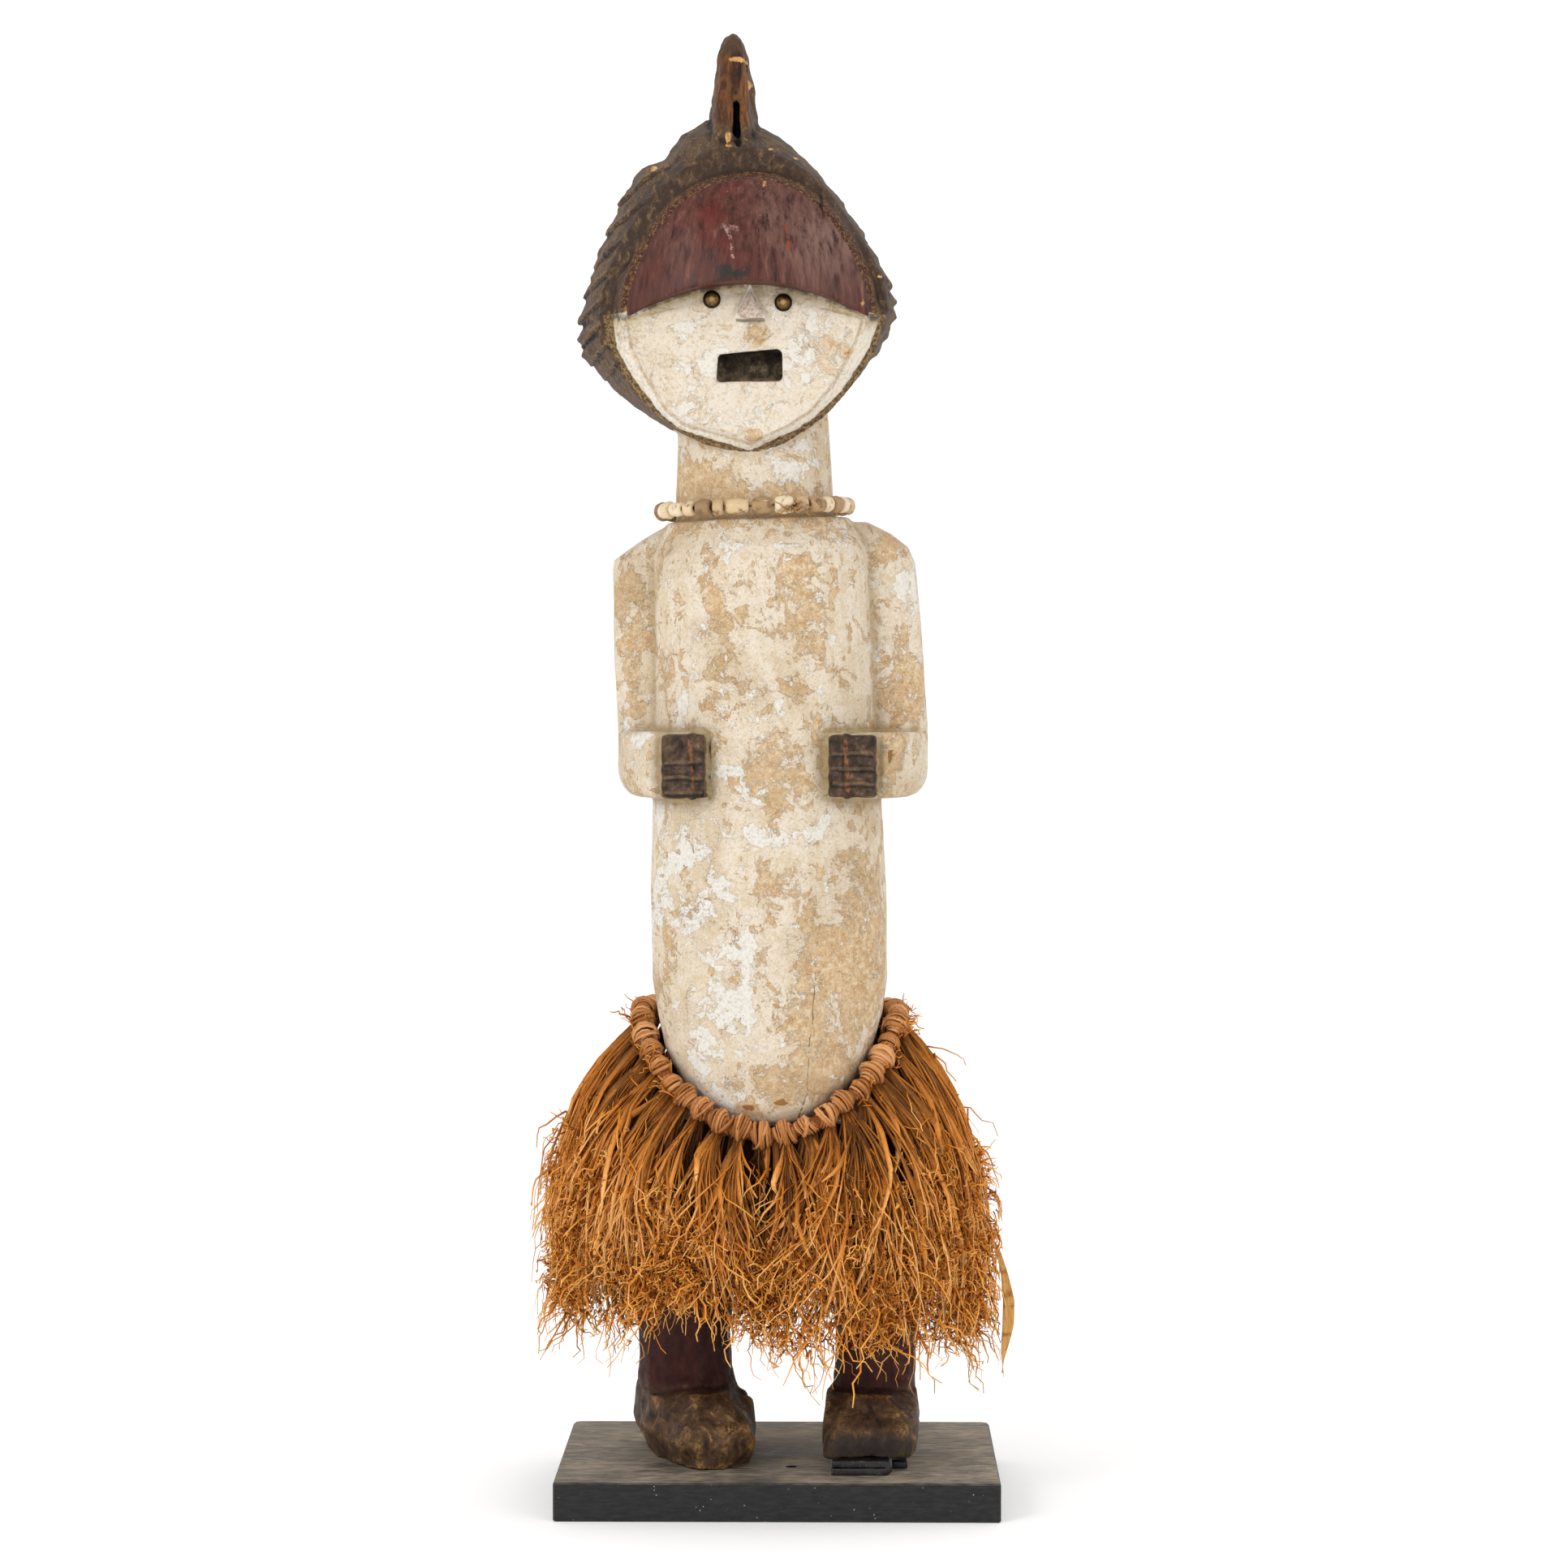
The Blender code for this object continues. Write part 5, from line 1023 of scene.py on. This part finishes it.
wraps, wrap_tones, wrap_sizes = [], [], []
for knot_turn in knot_turns:
    reach, height = band_at(knot_turn)
    centre = from_axis(knot_turn, reach, height)
    ahead = from_axis(knot_turn + 0.03, *band_at(knot_turn + 0.03))
    behind = from_axis(knot_turn - 0.03, *band_at(knot_turn - 0.03))
    along = (ahead - behind) / np.linalg.norm(ahead - behind)
    outward = np.array([math.cos(knot_turn), math.sin(knot_turn), 0.0])
    outward -= along * outward.dot(along)
    outward /= np.linalg.norm(outward)
    upward = np.cross(outward, along)
    size, lean = between(0.80, 1.14), between(-0.6, 0.6)
    centre = centre + outward * between(-0.0004, 0.0014) + upward * between(-0.0011, 0.0011)
    knot_shade = between(-0.25, 0.25)
    for k in range(11):
        crossing = k % 4 == 3
        offset = between(-0.6, 0.6) if crossing else (k - 5.0) / 5.0
        bulge = 0.0074 * size * (1.0 - 0.55 * offset**2) * between(0.94, 1.05)
        sway = -1.6 * lean if crossing else lean + between(-0.15, 0.15)
        bulge += 0.0005 if crossing else 0.0
        side = (offset * 0.0058 + sway * 0.0048 * np.sin(ring + 0.5))[:, None]
        circle = outward * (bulge * np.cos(ring))[:, None] + upward * (bulge * 1.08 * np.sin(ring))[:, None]
        wraps.append(centre + along * side + circle)
        wrap_tones.append(np.clip(between(0.15, 0.85) + knot_shade, 0.0, 1.0))
        wrap_sizes.append(np.full(13, between(0.0008, 0.0017)))
knot_tone = fibre_finish(
    "reddish_raffia_knots",
    ((0.0, "#874f26"), (0.35, "#b57641"), (0.65, "#d19158"), (1.0, "#eab07a")), "#4a2812"
)
fibres("waistband_knots", np.array(wraps), np.array(wrap_sizes), np.array(wrap_tones), TRIANGLE,
       knot_tone, "raffia_knots", "skirt_waistband")
core_path = from_axis(walk[::6], *band_at(walk[::6]))[None]
HEXAGON = tuple((math.cos(math.pi * k / 3.0), math.sin(math.pi * k / 3.0)) for k in range(6))
fibres("waistband_cord", core_path, np.full((1, core_path.shape[1]), 0.0044), np.array([0.0]), HEXAGON,
       knot_tone, "raffia_knots", "skirt_waistband")


# The skirt itself is several thousand dried raffia strands in locks, brown and flattened under the
# knots and frayed into bright orange curls at their ends. They part at the front into two lobes.
SWING_SHARE = (0.0, 0.12, 0.27, 0.45, 0.68, 0.86, 1.0, 1.3)
SWING = (0.0, 0.37, 0.67, 0.88, 0.99, 0.97, 0.90, 0.84)
REACH_LOW, REACH_HIGH = np.array([-0.149, -0.119, 0.030]), np.array([0.138, 0.113, 0.335])


def kept_in(paths):
    """Fibres that stray past the skirt's reach bend back towards it."""
    for limit, way in ((REACH_HIGH, 1.0), (REACH_LOW, -1.0)):
        over = np.maximum((paths - limit) * way, 0.0)
        paths = paths - way * (over - 0.006 * (1.0 - np.exp(-over / 0.006)))
    return paths


def bell(turn):
    """The skirt's full reach in a direction, drawn in at the front parting."""
    across, along = np.abs(np.cos(turn)) / 0.1365, np.abs(np.sin(turn)) / 0.110
    full = (across**2.2 + along**2.2) ** (-1.0 / 2.2)
    apart = (turn + np.pi / 2.0 + 0.05 + np.pi) % (2.0 * np.pi) - np.pi
    return full * (1.0 - 0.15 * np.exp(-((apart / 0.16) ** 2)))


def hem(turn):
    front = 0.103 - 0.017 / (1.0 + np.exp(-9.0 * (np.cos(turn + 0.06) - 0.02)))
    lean = np.clip(np.sin(turn) * 1.4, 0.0, 1.0)
    lifted = 0.015 * np.exp((np.cos(turn + 2.0) - 1.0) / 0.018)
    return 0.0245 + front + (0.078 - front) * lean + lifted


def hang(start, end, layer, length, steps, wild, bend):
    """Strands falling from the band, each with its own start, end, depth, length and waywardness."""
    count = len(start)
    t = np.linspace(0.0, 1.0, steps)[None, :]
    drop = length[:, None] * t
    turn = start[:, None] + (end - start)[:, None] * t ** bend[:, None]
    reach_at, top_at = band_at(turn)
    first_top = band_at(start)[1][:, None]
    top_at = first_top + (top_at - first_top) * 0.3 - 0.004
    out = reach_at + 0.003
    full = bell(turn) * (0.74 + 0.28 * layer[:, None])
    reach = out + (full - out) * np.interp(drop, SWING_SHARE, SWING)
    height = top_at - (top_at - hem(turn)) * drop
    for frequency in (0.9, 2.3, 5.3):
        phase = between(0.0, 6.28, (count, 1))
        size = wild[:, None] * between(0.3, 1.0, (count, 1)) / frequency
        turn = turn + size * np.sin(frequency * 3.14 * t + phase) * t / np.maximum(reach, 0.05)
        phase = between(0.0, 6.28, (count, 1))
        reach = reach + 0.7 * size * np.sin(frequency * 3.14 * t + phase) * t
    return kept_in(from_axis(turn, reach, height))


def side_of(turn):
    return "back" if math.sin(turn) > 0.25 else "left" if math.cos(turn) < 0.0 else "right"


raffia = fibre_finish(
    "dried_raffia",
    ((0.0, "#6e421b"), (0.25, "#9a5f26"), (0.5, "#ba722b"), (0.75, "#dd8f3e"), (1.0, "#fbbc70")),
    "#3f1e06", 0.7
)
frizz = fibre_finish(
    "frayed_raffia_curls",
    ((0.0, "#8e4a10"), (0.3, "#cc7722"), (0.6, "#ee9a38"), (1.0, "#ffc06a")), "#5f2e08", 0.7
)


def lock_target(degrees):
    """Where a bundle from one knot ends up: fanned outwards, and swept across at the front right."""
    if degrees > -84.0 and degrees < -15.0:
        sweep = between(-40.0, 14.0) if degrees < -35.0 else between(-14.0, 14.0)
        return max(degrees + sweep, -96.0 + between(0.0, 7.0))
    if -165.0 < degrees <= -97.0:
        fanned = -130.0 + (degrees + 130.0) * 1.15 + between(-15.0, 15.0)
        return min(fanned, -92.0 - between(0.0, 5.0))
    return degrees + between(-11.0, 11.0)


LOCK_STRANDS, RIBBONS = 12, 230
groups = {"left": [], "right": [], "back": []}
for knot_turn in knot_turns:
    degrees = math.degrees(knot_turn)
    parting = -100.0 < degrees <= -83.0
    for _ in range(3 if parting else 9):
        target = degrees + between(-2.0, 2.0) if parting else lock_target(degrees)
        layer = -0.1 if parting else between(0.0, 1.0)
        length = between(0.30, 0.50) if parting else between(0.64, 1.02)
        start = knot_turn + around(0.0, 0.02)
        strays = 0.02 if parting else 0.065
        # painted shade: strands of the front parting, and those that end beside it, are darker
        shade = 0.05 if parting else 0.36 - 0.45 * math.exp(-(((target + 92.0) / 9.0) ** 2))
        for _ in range(LOCK_STRANDS):
            own_layer = np.clip(layer + around(0.0, 0.10), -0.2, 1.1)
            groups[side_of(knot_turn)].append((
                start + around(0.0, 0.014),
                math.radians(target) + around(0.0, strays),
                own_layer,
                length * between(0.86, 1.07),
                between(0.004, 0.017),
                between(0.7, 1.6),
                # painted shade: strands lying further in are darker, added to each strand's own tone
                np.clip(shade + 0.30 * own_layer + around(0.0, 0.40), 0.0, 1.0),
            ))
for side, strands in groups.items():
    table = np.array(strands)
    paths = hang(table[:, 0], table[:, 1], table[:, 2], table[:, 3], 11, table[:, 4], table[:, 5])
    thick = between(0.00035, 0.0011, (len(table), 1)) * np.linspace(1.1, 0.6, 11)[None, :]
    # strands lying deeper in take painted shade through their depths
    fibres(f"raffia_strands_{side}", paths, thick, table[:, 6], TRIANGLE, raffia, "raffia", "raffia_skirt",
           depths=1.0 - np.clip(table[:, 2], 0.0, 1.0))

# broad ribbons that never frayed lie among the strands
RIBBON = ((-1.0, -0.12), (1.0, -0.12), (1.0, 0.12), (-1.0, 0.12))
table = []
for _ in range(RIBBONS):
    degrees = numbers.choice(np.degrees(knot_turns))
    if not -99.0 < degrees < -82.0:
        table.append((math.radians(degrees), math.radians(lock_target(degrees)), between(0.75, 1.12),
                      between(0.25, 0.85), 0.008, between(0.8, 1.4)))
for turn in np.radians((-95.0, -91.5, -90.0, -87.5, -85.5)):
    table.append((turn, turn, 0.25, between(0.34, 0.46), 0.003, 1.0))
table = np.array(table)
paths = hang(*table[:, :4].T, 9, table[:, 4], table[:, 5])
taper = np.array([0.6, 0.9, 1.0, 1.0, 0.95, 0.9, 0.8, 0.6, 0.2])
thick = between(0.0011, 0.0024, (len(table), 1)) * taper
fibres("raffia_ribbons", paths, thick, between(0.3, 1.0, len(table)), RIBBON, raffia, "raffia",
       "raffia_skirt")


def skirt_surface(turn, share, layer):
    """A spot in the skirt: its direction, how far down it lies and how near the outside."""
    reach_at, top_at = band_at(turn)
    reach = reach_at + (bell(turn) * (0.76 + 0.27 * layer) - reach_at) * np.interp(share, SWING_SHARE, SWING)
    return from_axis(turn, reach, top_at - (top_at - hem(turn)) * share)


# curls sit in clusters, thickest towards the hem, with a few wisps straight out of it
CLUSTERS, CLUSTER_CURLS, WISPS, STRAYS, WAIST_TUFTS = 560, 13, 340, 860, 150
curls = {"left": [], "right": [], "back": []}
for _ in range(CLUSTERS):
    turn, share = between(-np.pi, np.pi), 1.0 - abs(around(0.0, 0.38))
    apart = abs(math.degrees(turn) + 92.0)
    if share < 0.34 or (apart < 16.0 and share < 0.6):
        continue
    layer, shade = between(0.75, 1.10), between(-0.3, 0.3)
    lean = around(0.0, 0.45, 3) + (0.0, 0.0, -0.45)
    for _ in range(CLUSTER_CURLS):
        curls[side_of(turn)].append((
            turn + around(0.0, 0.045), share + around(0.0, 0.04),
            layer + around(0.0, 0.06),
            *(lean + around(0.0, 0.5, 3)), between(0.009, 0.026), between(0.7, 1.3),
            np.clip(between(0.2, 0.9) + shade, 0.0, 1.0),
        ))
for _ in range(WISPS):
    turn = between(-np.pi, np.pi)
    curls[side_of(turn)].append((
        turn, between(0.80, 1.04), between(0.6, 1.05),
        0.5 * math.cos(turn) + around(0.0, 0.3),
        0.5 * math.sin(turn) + around(0.0, 0.3), -1.0, between(0.010, 0.044), 0.45,
        between(0.2, 1.0),
    ))
for _ in range(STRAYS):
    turn = between(-np.pi, np.pi)
    curls[side_of(turn)].append((
        turn, between(0.07, 0.92), between(0.98, 1.10), *around(0.0, 0.45, 2), -0.75,
        between(0.022, 0.055), 0.28, between(0.5, 1.0),
    ))
for _ in range(WAIST_TUFTS):
    turn = math.pi * numbers.integers(0, 2) + around(0.0, 0.45)
    curls[side_of(turn)].append((
        turn, between(0.0, 0.03), 1.0, 0.4 * math.cos(turn), 0.0, between(-0.2, 0.9),
        between(0.008, 0.022), 0.8, between(0.0, 0.6),
    ))
for side, spots in curls.items():
    table = np.array(spots)
    heading = table[:, 3:6] / np.linalg.norm(table[:, 3:6], axis=1)[:, None]
    kink = around(0.0, 1.0, (len(table), 7, 3)) * table[:, 7][:, None, None] + heading[:, None, :]
    kink /= np.linalg.norm(kink, axis=2)[:, :, None]
    steps = np.cumsum(kink * table[:, 6][:, None, None] / 6.0, axis=1)
    paths = kept_in(skirt_surface(table[:, 0], table[:, 1], table[:, 2])[:, None, :] + steps)
    thick = between(0.0003, 0.0009, (len(table), 1)) * np.linspace(1.0, 0.5, 7)[None, :]
    # curls lying deeper in take painted shade through their depths
    fibres(f"raffia_curls_{side}", paths, thick, table[:, 8], TRIANGLE, frizz, "raffia", "raffia_skirt",
           depths=np.clip(1.1 - table[:, 2], 0.0, 1.0))


# A strip of dry leaf is caught among the fibres at the skirt's right side. It hangs out below them,
# turning on itself.
LEAF_X = (0.1350, 0.1400, 0.1440, 0.1470, 0.1466, 0.1445, 0.1432, 0.1430)
LEAF_Z = (0.1640, 0.1580, 0.1440, 0.1260, 0.1100, 0.0970, 0.0880, 0.0790)
LEAF_Y = -0.020
LEAF_WIDTH = (0.0010, 0.0018, 0.0024, 0.0040, 0.0042, 0.0034, 0.0024, 0.0016)
bm = bmesh.new()
bmesh.ops.create_grid(bm, x_segments=4, y_segments=30, size=1.0)
stops = np.linspace(-1.0, 1.0, len(LEAF_X))
for vert in bm.verts:
    across, down = vert.co.x, vert.co.y
    middle_x, middle_z, half = [np.interp(down, stops, row) for row in (LEAF_X, LEAF_Z, LEAF_WIDTH)]
    twist = 0.3 + 1.1 * (down + 0.2) ** 2
    out_y = LEAF_Y + across * half * math.sin(twist) - 0.0006 * abs(across)
    vert.co = (middle_x + across * half * math.cos(twist), out_y, middle_z)
bmesh.ops.recalc_face_normals(bm, faces=bm.faces)
bmesh.ops.solidify(bm, geom=bm.faces, thickness=0.0004)
bmesh.ops.smooth_vert(bm, verts=bm.verts, factor=0.3, use_axis_x=True, use_axis_y=True, use_axis_z=True)


def leaf_finish():
    mix = Finish("dry_yellow_leaf", 0.6)
    veins = mix.noise(700, 4, 0.6, 0, mix.stretched(1, 1, 0.1))
    blot = mix.noise(150, 4, 0.6)
    colour = mix.mix(veins.step(0.35, 0.65), "#d29a4c", "#b97f35")
    colour = mix.mix(blot.step(0.52, 0.66), colour, "#8f5d28")
    return mix.apply(colour, None, mix.bump(veins, 0.0004, 0.6))


add_piece("dry_leaf_strip", bm, leaf_finish(), "raffia", "raffia_skirt")


# A wide bowl of pale paper with three soft lamps makes a plain studio all round the figure. The
# paper glows a little, so that the floor stays near white.
rise = [math.pi / 2.0 * k / 10.0 for k in range(11)]
profile = [(0.0, 0.0), (1.2, 0.0), (2.6, 0.0), (4.0, 0.0)]
profile += [(4.0 + 3.5 * math.sin(t), 3.5 - 3.5 * math.cos(t)) for t in rise[1:]] + [(7.5, 5.0)]
bm = turned([(reach, 0.0, up) for reach, up in profile], (0.0, 0.0, 0.0), (0.0, 0.0, 1.0), 48)
bmesh.ops.reverse_faces(bm, faces=bm.faces)
mesh = bpy.data.meshes.new("studio_bowl")
bm.to_mesh(mesh)
bm.free()
mesh.shade_smooth()
bowl = placed("studio_bowl", mesh)
mix = Finish("pale_studio_paper", 0.95)
dress(bowl, mix.apply(mix.mix(mix.noise(3.0, 3.0), "#fafafa", "#fdfdfd")))
mix.shader.inputs["Emission Color"].default_value = (1.0, 1.0, 1.0, 1.0)
mix.shader.inputs["Emission Strength"].default_value = 0.15
bowl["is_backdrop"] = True

world = bpy.data.worlds.new("studio_air")
world.use_nodes = True
world.node_tree.nodes["Background"].inputs["Color"].default_value = (1.0, 1.0, 1.0, 1.0)
world.node_tree.nodes["Background"].inputs["Strength"].default_value = 0.78
bpy.context.scene.world = world
for name, place, size, power in (
    ("key_softbox", (-1.6, -1.9, 1.6), 0.8, 17.0),
    ("fill_softbox", (1.7, -1.7, 1.2), 0.9, 6.0),
    ("top_softbox", (0.1, 0.2, 2.6), 1.4, 6.0),
):
    lamp = bpy.data.lights.new(name, "AREA")
    lamp.shape = "DISK"
    lamp.size = size
    lamp.energy = power
    thing = bpy.data.objects.new(name, lamp)
    thing.location = place
    thing.rotation_euler = (Vector((0.0, 0.0, 0.5)) - Vector(place)).to_track_quat("-Z", "Y").to_euler()
    bpy.context.scene.collection.objects.link(thing)

low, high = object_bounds()
